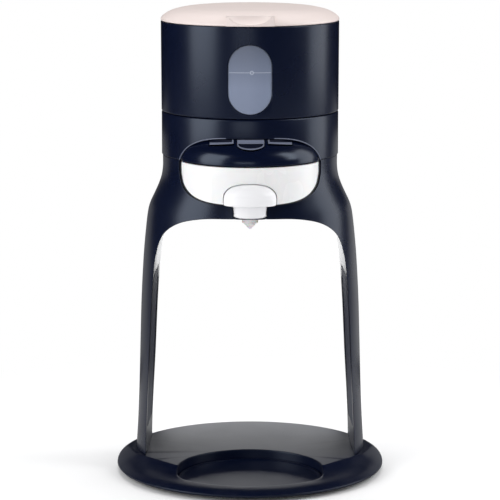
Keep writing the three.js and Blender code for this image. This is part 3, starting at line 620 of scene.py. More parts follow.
def circuit_board():
    """Green lacquered board with copper tracks showing through."""
    name = "circuit_board"
    if name in bpy.data.materials:
        return bpy.data.materials[name]
    material, tree, shader = bare_material(name)
    pattern = {
        "Vector": object_place(tree),
        "Scale": 180,
        "Mortar Size": 0.06,
        "Color1": (0.012, 0.09, 0.04, 1),
        "Color2": (0.015, 0.11, 0.05, 1),
        "Mortar": (0.06, 0.2, 0.07, 1),
    }
    tracks = node(tree, "ShaderNodeTexBrick", pattern).outputs
    raised = bumped(tree, tracks["Fac"], 0.2)
    feed(tree, shader, {"Base Color": tracks["Color"], "Normal": raised, "Roughness": 0.35})
    return material


def tinted_tank():
    """Blue grey tank plastic, frosted, darker towards its top."""
    name = "tinted_tank"
    if name in bpy.data.materials:
        return bpy.data.materials[name]
    material, tree, shader = bare_material(name)
    place = object_place(tree)
    height = node(tree, "ShaderNodeSeparateXYZ", {"Vector": place}).outputs["Z"]
    middle, half = shape().window_z, shape().window_half_height
    share = ranged(tree, height, middle - half, middle + half)
    tint = node(tree, "ShaderNodeValToRGB", {"Fac": share})
    base = Vector(colours().window)
    ramp = tint.color_ramp.elements
    ramp[0].color = (*(base * 1.02), 1)
    ramp[1].color = (*(base * 0.58), 1)
    ramp[1].position = 0.95
    ramp.new(0.38).color = (*(base * 1.04), 1)
    sockets = {
        "Base Color": tint.outputs["Color"],
        "Roughness": 0.32,
        "Normal": bumped(tree, noise(tree, place, scale=1500), 0.05),
        "Transmission Weight": 0.12,
        "IOR": 1.5,
    }
    feed(tree, shader, sockets)
    return material


def dress(names, material):
    """Gives frame nodes a finish and smooth shading."""
    for name in names:
        piece = NODES[name]
        piece.data.materials.clear()
        piece.data.materials.append(material)
        smoothed(piece, 35)


def place(piece, body, slot_name, material, *stands_for, angle=32):
    """Finishes a fine piece, lets it ride on its body and hides the frame's nodes it stands for."""
    piece.data.materials.clear()
    piece.data.materials.append(material)
    smoothed(piece, angle)
    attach(piece, body)
    if stands_for:
        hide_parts(*stands_for)
    return piece


def cad_centre(name):
    """The middle of a frame node's box."""
    low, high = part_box(name)
    return (low + high) / 2


# Outlines that more than one piece follows, in millimetres.
HOOD_ARCH = [
    (47, 223), (45.4, 227), (42.8, 230.7), (39.5, 233.6), (35.5, 235.9), (31, 237.6), (25, 238.9), (16, 239.6)
]
HOOD_ARCH_TOP = 239.9
HOOD_PROFILE = [
    (222.9, 50), (226, 49.9), (229, 49), (231.5, 47.4),
    (233.8, 45.2), (235.8, 42.8), (237.6, 40.6), (239.6, 39),
]
BAY_CORNER = [
    (0, 18), (1.1, 12.5), (2.4, 9.3), (4.8, 6.3), (7.5, 4.2), (11.5, 2.4), (16.5, 1.2), (22, 0.5), (29, 0)
]
BAY_BOTTOM = 195.6
BAY_TOP = 230
BAY_HALF_WIDTH = 47.5
BAY_BACK = 14


def arch_line(inset):
    """The hood arch from its left foot over the top to its right foot, as (x, z) in metres."""
    left = curve_through([(-x, z) for x, z in HOOD_ARCH] + [(0, HOOD_ARCH_TOP)], 4)
    line = []
    for i, (x, z) in enumerate(left):
        before, after = neighbours(left, i)
        along = Vector((after[0] - before[0], after[1] - before[1])).normalized()
        if i == len(left) - 1:
            along = Vector((1, 0))
        line.append(((x + along.y * inset) * MM, (z - along.x * inset) * MM))
    return line + mirrored(line[:-1])


def hood_arch(inset):
    """The closed outline of the opening over the drawer."""
    foot = 0.2
    return capped(arch_line(inset), foot)


def bay_front(half, bottom, top):
    """The bay from the front, or the bowl in it: a flat floor with deep round corners, open upwards."""
    left = in_metres(curve_through([(-half + a, bottom + b) for a, b in BAY_CORNER], 4))
    return capped(left + mirrored(left), top * MM)


def screw_places():
    """Where the four screws that hold the base to the stand sit, in plan."""
    centres = [cad_centre(f"stand_screw_{i}") for i in range(1, 5)]
    return [(centre.x, centre.y) for centre in centres]


# The base, in millimetres.
RIDGE = [(0, -37.5), (50.5, -37.5), (73.5, -12.6), (78.5, -7), (83, 5), (86, 16), (88, 30)]
APRON_DROP = [(0, 0), (2, 0.7), (5, 1.8), (9, 2.7), (14, 3.4), (22, 3.9), (40, 4.2)]
LIP_DROP = [(82, 0), (86, 0.25), (89, 0.8), (91.5, 1.6), (96, 3.6)]
BASE_RIM = [(86, 1.6), (91, 2.8), (92.5, 3.8), (BASE_HIGH.x / MM, 5.2)]
BASE_RIM += [(92.6, 7.4), (91.2, 9.4), (88.8, 10.8)]
BASE_FLAT = {"below": 82, "above": 85.5}
RECESS = {"centre_y": -45, "radius": 50, "front": 76.5, "middle_y": -38, "softness": 20}
TRAY_FLOOR = 0.8


def smooth_ridge():
    """The ridge as a fine line: straight over the recess, then one smooth sweep round the foot."""
    return [RIDGE[0]] + curve_through(RIDGE[1:], 6)


def ridge_radius(turn, ridge):
    """How far from the centre a ray at an angle from the front meets the ridge."""
    ray = Vector((math.sin(abs(turn)), -math.cos(turn)))
    slack = 1e-6
    for start, end in zip(ridge, ridge[1:]):
        along = Vector(end) - Vector(start)
        share = Vector(start).cross(ray) / ray.cross(along)
        if -slack < share < 1 + slack:
            return (Vector(start) + along * share).length
    raise ValueError("no ridge at this angle")


def from_ridge(x, y, ridge):
    """How far a point in front of the ridge is from it, in plan."""
    point = Vector((abs(x), y))
    least = math.inf
    for start, end in zip(ridge, ridge[1:]):
        along = Vector(end) - Vector(start)
        share = min(max((point - Vector(start)).dot(along) / along.length_squared, 0), 1)
        least = min(least, (point - Vector(start) - along * share).length)
    return least


def over_apron():
    """All that lies over the low apron, swept round the front of the base from rim to rim."""
    ridge = smooth_ridge()
    last = math.atan2(ridge[-1][0], -ridge[-1][1])
    outside = BASE_HIGH.x / MM + 3
    top = BASE_HIGH.z / MM
    clear = top + 5
    full_drop = APRON_DROP[-1][1]
    steps, shares, crowding = 72, 28, 1.4
    rings = []
    for k in range(-steps, steps + 1):
        turn = last * k / steps
        radius = ridge_radius(turn, ridge)
        section = []
        for i in range(shares + 1):
            r = radius + (outside - radius) * (i / shares) ** crowding
            drop = eased(APRON_DROP, from_ridge(r * math.sin(turn), -r * math.cos(turn), ridge))
            section.append((r, top - drop - eased(LIP_DROP, r) * drop / full_drop))
        section += [(outside, clear), (radius, clear)]
        rings.append(in_metres([(r * math.sin(turn), -r * math.cos(turn), z) for r, z in section]))
    return lofted("over_apron", rings)


def recess_ring(inset, z):
    """The tray's recess in plan at a height: a round dish whose front follows the base's rim."""
    middle, soft = RECESS["middle_y"], RECESS["softness"]
    circles = ((RECESS["centre_y"], RECESS["radius"] - inset), (0, RECESS["front"] - inset))
    ring = []
    for x, y in turns(144):
        closeness = 0
        for centre, radius in circles:
            off = middle - centre
            reach = -y * off + math.sqrt((y * off) ** 2 - off * off + radius * radius)
            closeness += reach**-soft
        r = closeness ** (-1 / soft)
        ring.append((x * r, middle + y * r, z))
    return in_metres(ring)


def base_shell():
    """The round base: high at the back, low in front, with the tray's recess and the screws' wells."""
    low, high = BASE_LOW.z, BASE_HIGH.z
    rim = [(BASE_FLAT["below"], low / MM)] + BASE_RIM + [(BASE_FLAT["above"], high / MM)]
    profile = [(0.0, low)] + in_metres(curve_through(rim, 4)) + [(0.0, high)]
    piece = cut(turned("base_shell", profile), over_apron())
    floor, clear, gap = TRAY_LOW.z / MM - 0.3, 20, 0.0003
    piece = cut(piece, lofted("recess", [recess_ring(0, z) for z in (floor, clear)]))
    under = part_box("base_underplate")[1]
    below = -0.01
    piece = cut(piece, drum("under_well", under.x + gap, below, under.z + gap, sides=96))
    head, shaft, seat, top = 0.0035, 0.0019, 0.0044, 0.02
    hole = [(0.0, below), (head, below), (head, seat), (shaft, seat), (shaft, top), (0.0, top)]
    for screw in screw_places():
        piece = cut(piece, turned("screw_well", hole, screw, sides=32))
    return piece


def tray_dish():
    """The drip tray: a flat dish with a rounded rim, in the outline of its recess."""
    low, high = TRAY_LOW.z / MM, TRAY_HIGH.z / MM
    floor = low + TRAY_FLOOR
    outer = [(0.9, low), (0.6, low + 0.3), (0.6, high - 0.5), (0.75, high - 0.15), (1.1, high)]
    inner = [(3.4, floor), (2.8, floor + 0.15), (2.4, high - 0.1), (2.2, high + 0.5)]
    piece = lofted("tray_dish", [recess_ring(inset, z) for inset, z in outer])
    return cut(piece, lofted("tray_inside", [recess_ring(inset, z) for inset, z in inner]))


class FORMULA_OT_base(bpy.types.Operator):
    """Builds the round base and its drip tray"""

    bl_idname = "formula_maker.base"
    bl_label = "Base and drip tray"

    def execute(self, context):
        place(base_shell(), "stand", "navy_plastic", navy_base(), "base_plate", angle=14)
        place(tray_dish(), "tray", "navy_plastic", navy_base(), "drip_tray", angle=14)
        dress(["base_underplate"], dark_inside())
        dress([f"foot_pad_{i}" for i in range(1, 5)], tread_rubber())
        dress([f"stand_screw_{i}" for i in range(1, 5)], brushed_steel())
        return {"FINISHED"}


# The stand: (height, half width) and like pairs, in millimetres.
SKIN_HALF_WIDTH = [
    (8, 80.8), (34, 79.2), (62, 77.9), (91, 76.9), (120, 75.8), (148, 74.1), (162, 72.9), (175, 71.5),
    (181, 70.7), (186, 69.7), (189.5, 68.5), (193, 66.9), (196.5, 65.2), (200, 63.6), (203.5, 62.2),
    (207, 61), (214, 59.9), (223, 59.9),
]
SKIN_HALF_DEPTH = [
    (8, 80.8), (91, 76.9), (148, 74.1), (162, 71), (175, 65), (186, 61.4), (200, 59.9), (223, 59.9)
]
SKIN_CENTRE_Y = [(8, 23), (50, 19), (100, 13), (160, 4.5), (190, 0), (223, 0)]
LEG_INNER = [(8, 72.6), (27, 72.1), (50, 71), (80, 69.4), (110, 67.7), (132, 66.1), (147, 64.6)]
LEG_CROWN = [
    (147, 64.6), (156, 63.2), (166, 60.5), (173, 56.7), (178.6, 50.5), (182.6, 42), (185.2, 29.4), (185.9, 14)
]
ARCH_TOP = 186
ARCH_TAPER = 0.00049
FOOT_REACH = 86.5
LEG_POCKET = {"low": 28, "high": 140, "half": 24, "depth": 2.25, "corner": 5, "sink": 0.25}


def leg_arch():
    """What lies between the legs and under the bridge; it narrows a little towards the rear."""
    left = [(0, LEG_INNER[0][1])] + curve_through(LEG_INNER, 4)[:-1]
    left += curve_through(LEG_CROWN + [(ARCH_TOP, 0)], 6)
    left = [(-x, z) for z, x in left]
    outline = left + mirrored(left[:-1])
    reach = 120
    rings = [in_metres([(x * (1 - ARCH_TAPER * y), y, z) for x, z in outline]) for y in (-reach, reach)]
    return lofted("arch", rings)


def stand_skin():
    """The bell-shaped skin of the two legs and the collar under the body."""
    low, high, steps = STAND_LOW.z / MM, STAND_HIGH.z / MM, 84
    rings = []
    for k in range(steps + 1):
        z = low + (high - low) * k / steps
        wide, deep, middle = eased(SKIN_HALF_WIDTH, z), eased(SKIN_HALF_DEPTH, z), eased(SKIN_CENTRE_Y, z)
        rings.append(in_metres([(wide * a, middle + deep * b, z) for a, b in turns(176)]))
    return lofted("stand_moulding", rings)


def leg_pocket(side, gap):
    """The pocket for a leg's inner cover, or with a gap the cover itself, with rounded ends."""
    low, high, half = LEG_POCKET["low"] + gap, LEG_POCKET["high"] - gap, LEG_POCKET["half"] - gap
    corner, steps, past_leg = LEG_POCKET["corner"], 48, -2
    near, far = LEG_POCKET["sink"] if gap else past_leg, LEG_POCKET["depth"] - gap
    rings = []
    for k in range(steps + 1):
        z = low + (high - low) * k / steps
        centre = eased(SKIN_CENTRE_Y, z)
        edge = min(z - low, high - z)
        draw = corner - math.sqrt(corner**2 - (corner - edge) ** 2) if edge < corner else 0
        ring = []
        for out, y in ((near, draw - half), (far, draw - half), (far, half - draw), (near, half - draw)):
            face = eased(LEG_INNER, z) * (1 - ARCH_TAPER * (centre + y))
            ring.append((side * (face + out), centre + y, z))
        rings.append(in_metres(ring))
    return lofted("leg_cover", rings)


def stand_shell():
    """The stand: the skin cut by the arch, the drawer's bay, the nozzle's notch and the leg pockets."""
    piece = common(stand_skin(), drum("foot_limit", FOOT_REACH * MM, 0.0, 0.25))
    piece = cut(piece, leg_arch())
    bay = bay_front(BAY_HALF_WIDTH, BAY_BOTTOM, BAY_TOP)
    piece = cut(piece, pushed_back("bay", bay, FRONT, BAY_BACK * MM))
    low, high, narrow, wide, round_end = 0.182, 0.1976, 0.0103, 0.0123, 0.0109
    notch = [(-narrow, low), (narrow, low), (wide, high), (-wide, high)]
    piece = cut(piece, pushed_back("notch", notch, FRONT, POUR_Y))
    piece = cut(piece, drum("notch_end", round_end, low, high, POUR, sides=64))
    room = drum("room", BODY_RADIUS - 0.0035, 0.19, 0.23, sides=96)
    piece = cut(piece, common(room, block("rear", (-0.06, 0.018, 0.18), (0.06, 0.06, 0.24))))
    for side in (-1, 1):
        piece = cut(piece, leg_pocket(side, 0.0))
    for screw in screw_places():
        piece = cut(piece, drum("screw_hole", 0.0019, 0.0, 0.024, screw, sides=24))
    return piece


class FORMULA_OT_stand(bpy.types.Operator):
    """Builds the stand with its two legs and the covers in them"""

    bl_idname = "formula_maker.stand"
    bl_label = "Stand and leg covers"

    def execute(self, context):
        place(stand_shell(), "stand", "navy_plastic", navy_shell(), "stand_frame", angle=28)
        for side, name in ((-1, "left_leg_cover"), (1, "right_leg_cover")):
            cover = leg_pocket(side, 0.3)
            cover.name = f"{name}_fine"
            place(cover, "stand", "navy_plastic", leg_cover_navy(), name)
        return {"FINISHED"}


# The body and its hood.
EDGE = 0.0009
EDGE_TURNS = (0.4, 0.8, 1.2, 1.57)


def body_band():
    """The round band of the body, open below and arched in front over the drawer."""
    low, high, radius, inside = BODY_LOW.z, BODY_HIGH.z, BODY_RADIUS, BODY_RADIUS - 0.0022
    break_edge, socket, deck = 0.0003, 0.0139, BODY_HIGH.z - 0.003
    profile = [(inside, low), (radius - break_edge, low), (radius, low + break_edge), (radius, high - EDGE)]
    profile += [(radius - EDGE + EDGE * math.cos(t), high - EDGE + EDGE * math.sin(t)) for t in EDGE_TURNS]
    profile += [(socket, high), (socket, deck), (inside, deck)]
    piece = cut(turned("body_band", profile), pushed_back("hood_opening", hood_arch(0), FRONT, -0.025))
    hole, centre = 0.0053, cad_centre("cord_gland").z
    ring = [(hole * a, centre + hole * b) for a, b in turns(40)]
    return cut(piece, pushed_back("gland_hole", ring, 0.05, 0.07))


def arch_highlight_bead(side):
    """A thin grey bead along one side of the band's arch, from its foot to the start key: a painted highlight
    standing in for light caught on the arch's rounded edge.
    """
    radius, inner_end = 0.00035, 0.0125
    line = [(x, z) for x, z in arch_line(0) if x * side > inner_end]
    rings = []
    for i, (x, z) in enumerate(line):
        before, after = neighbours(line, i)
        out = Vector((before[1] - after[1], after[0] - before[0])).normalized()
        depth = math.sqrt(BODY_RADIUS**2 - x**2)
        forward = Vector((x, -depth)).normalized()
        ring = []
        for a, b in turns(10):
            across, lift = radius * (1 + a), radius * b
            ring.append((x + out.x * across + forward.x * lift, forward.y * lift - depth, z + out.y * across))
        rings.append(ring)
    return lofted("arch_highlight_bead", rings)


def hood_dome(inset, low, high):
    """The round dome that the hood and the keys are cut from, between two heights in millimetres."""
    steps = 14
    heights = [low + (high - low) * k / steps for k in range(steps + 1)]
    side = in_metres([(eased(HOOD_PROFILE, z) - inset, z) for z in heights])
    profile = [(0.0, low * MM)] + side + [(0.0, high * MM)]
    return turned("hood_dome", profile, (0.0, shape().hood_centre_y))


# The keys and their hood, in millimetres.
HOOD_WALL = 2.2
HOOD_GAP = 0.5
HOOD_CEILING = 237.2
HOLLOW_PAST_BACK = 9
KEY_LOW = {"outer": 235.6, "inner": 237, "start": 236.5}
KEY_ROOM = {"side": 0.4, "below": 1.1, "before_back": 6, "behind_lip": 4, "top": 239}
KEY_TOP = 250
KEY_BACK = -50
KEY_PROUD = 0.8
KEY_LIP = 0.95
KEY_SKIN = 1.4
KEY_SKIN_TOP = 240
SIDE_FACE_DEPTH = 0.5
START_LIP = {"centre": 236.4, "fall": 2.9, "width": 0.75, "strip": 237.0, "back": -60}
START_DISH_DEPTH = 1.2


def key_ends(name):
    """A side key's outer and inner end, or the start key's right and left end, in millimetres."""
    low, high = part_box(name)
    if name == "temperature_key":
        return low.x / MM, high.x / MM
    return high.x / MM, low.x / MM


def key_view(name, side=0.0, below=0.0):
    """A key from the front, open upwards; a side key's lower edge climbs towards the middle."""
    outer, inner = key_ends(name)
    out = math.copysign(side, outer - inner)
    low_outer, low_inner = KEY_LOW["outer"] - below, KEY_LOW["inner"] - below
    if name == "start_key":
        low_outer = low_inner = KEY_LOW["start"] - below
    return in_metres(capped([(outer + out, low_outer), (inner - out, low_inner)], KEY_TOP))


def lip_outline(side=0.0, below=0.0):
    """The half-round front view of the start key's lip; negative sizes give a smaller one inside it."""
    right, left = key_ends("start_key")
    middle, half = (left + right) / 2, (right - left) / 2 + side
    centre, fall = START_LIP["centre"], START_LIP["fall"] + below
    line = [(middle - half * a, centre - fall * b) for a, b in arc(0, math.pi, 40)]
    return in_metres(capped(line, centre + 1))


def under_arch(dome, inset=HOOD_GAP, back=HOOD_HIGH.y):
    """The part of a dome that lies under the hood arch, drawn in by an inset."""
    return common(dome, pushed_back("under_arch", hood_arch(inset), FRONT, back))


def behind_start_key():
    """The dome that the back of the start key's skin follows."""
    return hood_dome(KEY_SKIN, HOOD_LOW.z / MM - 1, KEY_SKIN_TOP)


def hood_shell():
    """The glossy hood: a thin dome under the arch with room for the keys to sink."""
    low = HOOD_LOW.z / MM
    piece = under_arch(hood_dome(0, low, HOOD_HIGH.z / MM))
    hollow = hood_dome(HOOD_WALL, low + HOOD_WALL, HOOD_CEILING)
    piece = cut(piece, under_arch(hollow, HOOD_GAP + HOOD_WALL, HOOD_HIGH.y + HOLLOW_PAST_BACK * MM))
    side, below = KEY_ROOM["side"], KEY_ROOM["below"]
    back = HOOD_HIGH.y - KEY_ROOM["before_back"] * MM
    for name in ("temperature_key", "start_key", "volume_key"):
        piece = cut(piece, pushed_back("slot", key_view(name, side, below), FRONT, back))
    lip_room = pushed_back("lip_room", lip_outline(side, below), FRONT, START_LIP["back"] * MM)
    piece = cut(piece, cut(lip_room, hood_dome(KEY_ROOM["behind_lip"], low, KEY_ROOM["top"])))
    piece.name = "hood_shell"
    return piece


def proud_dome(sunk=0.0):
    """The dome that the keys' fronts follow, or one sunk behind it, kept under the arch."""
    return under_arch(hood_dome(sunk - KEY_PROUD, HOOD_LOW.z / MM, HOOD_HIGH.z / MM))


def key_part(name, outline, sunk=0.0, back=KEY_BACK):
    """What an outline in front view keeps of the keys' dome."""
    return common(proud_dome(sunk), pushed_back(name, outline, FRONT, back * MM))


def side_key(name):
    """A side key: a grey lip along its lower edge and inner end, a painted highlight on those edges, and the
    navy face sunk behind it.
    """
    outer, inner = key_ends(name)
    out = math.copysign(1, outer - inner)
    past_end = 3
    outer_end = (outer + past_end * out, KEY_LOW["outer"] + KEY_LIP)
    inner_end = (inner + KEY_LIP * out, KEY_LOW["inner"] + KEY_LIP)
    face_view = in_metres(capped([outer_end, inner_end], KEY_TOP))
    room = pushed_back("face_room", face_view, FRONT, (KEY_BACK + 1) * MM)
    rim = cut(key_part(name, key_view(name)), room)
    rim.name = f"{name}_lip"
    face = key_part("face", key_view(name), SIDE_FACE_DEPTH)
    face = common(face, pushed_back("face_view", face_view, FRONT, KEY_BACK * MM))
    face.name = f"{name}_face"
    return rim, face


def start_key():
    """The start key: a grey strip over a navy dish that a grey half-round lip runs round; the grey strip and
    lip are a painted highlight on the key's edges.
    """
    back, width, strip = START_LIP["back"], START_LIP["width"], START_LIP["strip"] * MM
    lip = cut(proud_dome(), behind_start_key())
    lip = common(lip, pushed_back("lip", lip_outline(), FRONT, back * MM))
    key = joined(key_part("start_strip", key_view("start_key")), lip)
    inner = [(x, z) for x, z in lip_outline(-width, -width) if z <= START_LIP["centre"] * MM]
    inner = capped(inner, strip)
    key = cut(key, pushed_back("dish_room", inner, FRONT, (back - 1.5) * MM))
    key.name = "start_key_cap"
    dish = cut(key_part("dish", inner, START_DISH_DEPTH, back), behind_start_key())
    dish.name = "start_key_dish"
    return key, dish


class FORMULA_OT_body(bpy.types.Operator):
    """Builds the body's round band and the hood over the drawer"""

    bl_idname = "formula_maker.body"
    bl_label = "Body and hood"

    def execute(self, context):
        place(body_band(), "stand", "navy_plastic", navy_shell(), "body_shell", angle=28)
        # Grey beads along the arch, a painted highlight on its edge.
        for side in (-1, 1):
            place(arch_highlight_bead(side), "stand", "navy_plastic", key_grey(), angle=60)
        place(hood_shell(), "stand", "navy_plastic", navy_hood(), "hood", angle=30)
        dress(["body_floor"], dark_inside())
        dress(["cord_gland"], tread_rubber())
        return {"FINISHED"}


class FORMULA_OT_keys(bpy.types.Operator):
    """Builds the three keys in the hood's brow"""

    bl_idname = "formula_maker.keys"
    bl_label = "Keys"

    def execute(self, context):
        for name in ("temperature_key", "volume_key"):
            rim, face = side_key(name)
            # The grey lip is a painted highlight on the key's edges.
            place(rim, name, "grey_key_plastic", key_grey(), name)
            place(face, name, "navy_plastic", key_face_navy())
        cap, dish = start_key()
        # The grey strip and lip are a painted highlight on the start key's edges.
        place(cap, "start_key", "grey_key_plastic", key_grey(), "start_key")
        place(dish, "start_key", "navy_plastic", key_face_navy())
        return {"FINISHED"}


# The tank, in metres.
PIN_RADIUS = 0.0014
BARREL_RADIUS = 0.0029
EAR_END = PIN_HIGH.x - 0.0028
EAR = {"front": 0.0525, "back": 0.0575, "low": 0.304, "high": 0.313, "width": 0.004, "reach": 0.06}
NOTCH = {"front": 0.05, "back": 0.07, "low": 0.3035}
LINER_FLOOR = 0.2576
WINDOW_PANE = {"inner": 0.0574, "outer": 0.0602, "low": 0.24, "high": 0.32}
VALVE_COIL = {"radius": 0.0034, "wire": 0.00035, "low": 0.2518, "high": 0.2555, "coils": 2.5}


def window_outline(inset):
    """The window's stadium in front view, as (x, z)."""
    half = shape().window_half_width - inset
    straight = shape().window_half_height - inset - half
    line = []
    for start, middle in ((0, shape().window_z + straight), (math.pi, shape().window_z - straight)):
        line += [(half * a, middle + half * b) for a, b in arc(start, math.pi, 32)]
    return line


def sleeve_shell():
    """The tank's navy sleeve with its window, its hinge notch and the two ears that hold the pin."""
    low, high, outside, inside, bore = SLEEVE_LOW.z, SLEEVE_HIGH.z, SLEEVE_HIGH.x, 0.0584, 0.012
    draft, floor = 0.0003, 0.002
    foot = outside - draft - EDGE
    profile = [(bore, low), (foot - 0.0001, low)]
    profile += [(foot + EDGE * math.sin(t), low + EDGE - EDGE * math.cos(t)) for t in EDGE_TURNS]
    profile += [(outside - 0.0001, high - 0.0005), (outside - 0.0005, high)]
    profile += [(inside, high), (inside, low + floor), (bore, low + floor)]
    piece = turned("sleeve_shell", profile)
    piece = cut(piece, pushed_back("window", window_outline(0), FRONT, -0.04))
    notch = (-EAR_END, NOTCH["front"], NOTCH["low"]), (EAR_END, NOTCH["back"], high + 0.002)
    piece = cut(piece, block("hinge_notch", *notch))
    for side in (-1, 1):
        near, far = sorted((side * EAR_END, side * (EAR_END + EAR["width"])))
        ear = block("ear", (near, EAR["front"], EAR["low"]), (far, EAR["back"], EAR["high"]))
        ear = joined(ear, cross_bar("ear_round", BARREL_RADIUS, near, far, HINGE_Y - 0.0006, HINGE_Z))
        piece = joined(piece, common(ear, drum("ear_limit", EAR["reach"], 0.3, high)))
    reach = EAR_END + 0.0032
    return cut(piece, cross_bar("pin_bore", PIN_RADIUS, -reach, reach, HINGE_Y, HINGE_Z))


def liner_shell():
    """The see-through liner with its raised window pane."""
    radius, wall, low, high = LINER_HIGH.x, 0.0018, LINER_FLOOR, LINER_HIGH.z
    inner, lip, bore, corner, fine = radius - wall, 0.053, 0.0056, 0.001, 0.0004
    profile = [(bore, low), (radius - corner, low), (radius, low + corner)]
    profile += [(radius, high - fine), (radius - fine, high), (lip, high)]
    profile += [(lip - fine, high - fine), (lip - fine, high - wall)]
    profile += [(inner - corner, high - 0.0024), (inner, high - 0.0034)]
    profile += [(inner, low + corner + wall), (inner - corner, low + wall), (bore, low + wall)]
    piece = turned("liner_shell", profile)
    near, far, foot, top = (WINDOW_PANE[key] for key in ("inner", "outer", "low", "high"))
    limit = turned("pane_limit", [(near, foot), (far, foot), (far, top), (near, top)])
    return joined(piece, common(pushed_back("pane", window_outline(0.00035), FRONT, -0.04), limit))


def fill_line(radius, z):
    """The moulded fill line across the window."""
    half, tall, thick, steps = 0.0138, 0.00018, 0.0006, 24
    rings = []
    for k in range(steps + 1):
        x = half * (2 * k / steps - 1)
        front = -math.sqrt(radius**2 - x**2)
        back = front + thick
        rings.append([(x, front, z - tall), (x, front, z + tall), (x, back, z + tall), (x, back, z - tall)])
    return lofted("fill_mark", rings)


def fill_ring(radius, z):
    """The small ring at the middle of the fill line, as a torus laid on the window."""
    middle, reach, wire, thick, sunk = 0.0012, 0.0011, 0.00022, 0.0002, 0.00016
    sides, around = 32, 8
    points, faces = [], []
    count = sides * around
    for i, (a, b) in enumerate(turns(sides)):
        for j, (out, front) in enumerate(turns(around)):
            x = middle + (reach + wire * out) * a
            depth = math.sqrt(radius**2 - x**2) - sunk + thick * front
            points.append((x, -depth, z + (reach + wire * out) * b))
            here = i * around + j
            beside = i * around + (j + 1) % around
            faces.append((here, beside, (beside + around) % count, (here + around) % count))
    return face_outwards(mesh_piece("fill_ring", points, faces))


def valve_coil():
    """The coil spring between the valve plunger's flange and the roof of its cup."""
    radius, wire, low, high, coils = VALVE_COIL.values()
    steps = 60
    rings = []
    for k, (a, b) in enumerate(arc(0, 2 * math.pi * coils, steps)):
        z = low + (high - low) * k / steps
        section = [(radius + wire * out, z + wire * up) for out, up in turns(8)]
        rings.append([(out * a, out * b, height) for out, height in section])
    return lofted("valve_coil", rings)


class FORMULA_OT_tank(bpy.types.Operator):
    """Builds the tank's sleeve, its liner, the window's fill mark and the valve's spring"""

    bl_idname = "formula_maker.tank"
    bl_label = "Water tank"

    def execute(self, context):
        place(sleeve_shell(), "tank", "navy_plastic", navy_shell(), "tank_sleeve", angle=28)
        place(liner_shell(), "tank", "clear_blue_plastic", tinted_tank(), "water_tank", angle=30)
        face = -LINER_LOW.y + 0.00012
        for mark in (fill_line(face, shape().fill_mark_z), fill_ring(face, shape().fill_mark_z)):
            place(mark, "tank", "clear_blue_plastic", fill_mark_pale())
        dress(["hinge_pin"], brushed_steel())
        coil = place(valve_coil(), "tank", "steel", brushed_steel(), "valve_spring", angle=50)
        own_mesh(coil)
        dress(["valve_body"], bowl_white())
        dress(["valve_plunger"], soft_silicone())
        return {"FINISHED"}


# The lid: its outside from the rim up as (radius, height over the rim), then the crown as (radius, height).
LID_SIDE = [(60.4, 0), (60.8, 0.4), (60.9, 0.9), (60.5, 2.0), (59.3, 3.3)]
LID_SIDE += [(57.6, 4.5), (55.2, 5.8), (52.5, 6.9), (49, 7.8)]
LID_CROWN = [(44, 322.9), (36, 323.5), (24, 324.1), (12, 324.5)]
LID_GAP = 0.0003
TAB = {"half": 0.016, "back": -0.046, "top": 0.3207}
SCOOP = {"half": 0.0159, "depth": 0.01, "fall": 0.0075, "lift": 0.0017, "y": -0.0636}


def finger_scoop():
    """The rounded hollow in the finger tab's top."""
    rings = []
    for down, out in arc(0, math.pi, 24)[1:-1]:
        z = TAB["top"] + SCOOP["lift"] - SCOOP["fall"] * down
        half, depth = SCOOP["half"] * out, SCOOP["depth"] * out
        rings.append([(half * a, SCOOP["y"] + depth * b, z) for a, b in turns(64)])
    return lofted("scoop", rings)


def lid_shell():
    """The lid: a low dome with a sloping rim, a plug ring under it, a finger tab and the hinge barrel."""
    low, plug, front = SLEEVE_HIGH.z + LID_GAP, LID_LOW.z, -LID_LOW.y
    inner, outer = 0.051, 0.054
    profile = [(0.0, 0.3216), (0.044, 0.3204), (inner, 0.3164), (inner, plug), (outer, plug), (outer, low)]
    side = [(r, low / MM + z) for r, z in LID_SIDE] + LID_CROWN
    profile += in_metres(curve_through(side, 3)) + [(0.0, LID_HIGH.z)]
    piece = turned("lid_shell", profile)
    tab = block("tab", (-TAB["half"], -front, low), (TAB["half"], TAB["back"], TAB["top"]))
    piece = joined(piece, common(tab, drum("tab_limit", front, 0.3, 0.33)))
    piece = cut(piece, finger_scoop())
    half = PIN_HIGH.x - 0.0036
    web = block("barrel_web", (-half, HINGE_Y - 0.0024, HINGE_Z), (half, HINGE_Y + 0.0016, low + 0.001))
    piece = joined(piece, joined(cross_bar("barrel", BARREL_RADIUS, -half, half, HINGE_Y, HINGE_Z), web))
    return cut(piece, cross_bar("barrel_bore", PIN_RADIUS, -0.02, 0.02, HINGE_Y, HINGE_Z))


class FORMULA_OT_lid(bpy.types.Operator):
    """Builds the lid and its seal"""

    bl_idname = "formula_maker.lid"
    bl_label = "Lid"

    def execute(self, context):
        place(lid_shell(), "lid", "pale_pink_plastic", lid_beige(), "lid", angle=24)
        dress(["lid_seal"], soft_silicone())
        return {"FINISHED"}


# The powder drawer, in millimetres.
BOWL_RADIUS = 50
BOWL_HALF_WIDTH = 46.8
BOWL_CORNER = 26
BOWL_BOTTOM = 196.2
BOWL_WALL = 1.8
# Width of the dark rim round the bowl, a painted shadow line.
BOWL_SHADOW_RIM = 0.9
BOWL_TOP = BOWL_HIGH.z / MM
HANDLE_FOOT = 196.9
HANDLE_REACH = 10.5
# The handle's dome as (height, share of the full size), its neck as (height, half width, half depth).
HANDLE_DOME = [(201.2, 1), (204.2, 0.96), (207, 0.84), (209.2, 0.66), (HANDLE_HIGH.z / MM, 0.34)]
NECK = [(188.2, 9.6, 6.2), (188.5, 10.1, 6.7), (189.0, 10.4, 7.0), (197.9, 11.4, 7.6)]
NECK_Y = -66
HANDLE_GAP = 0.4
TONGUE = {"front": -70.5, "back": -61.6, "half": 11.1, "corner": 4.0, "thick": 0.6, "lap": 0.1}


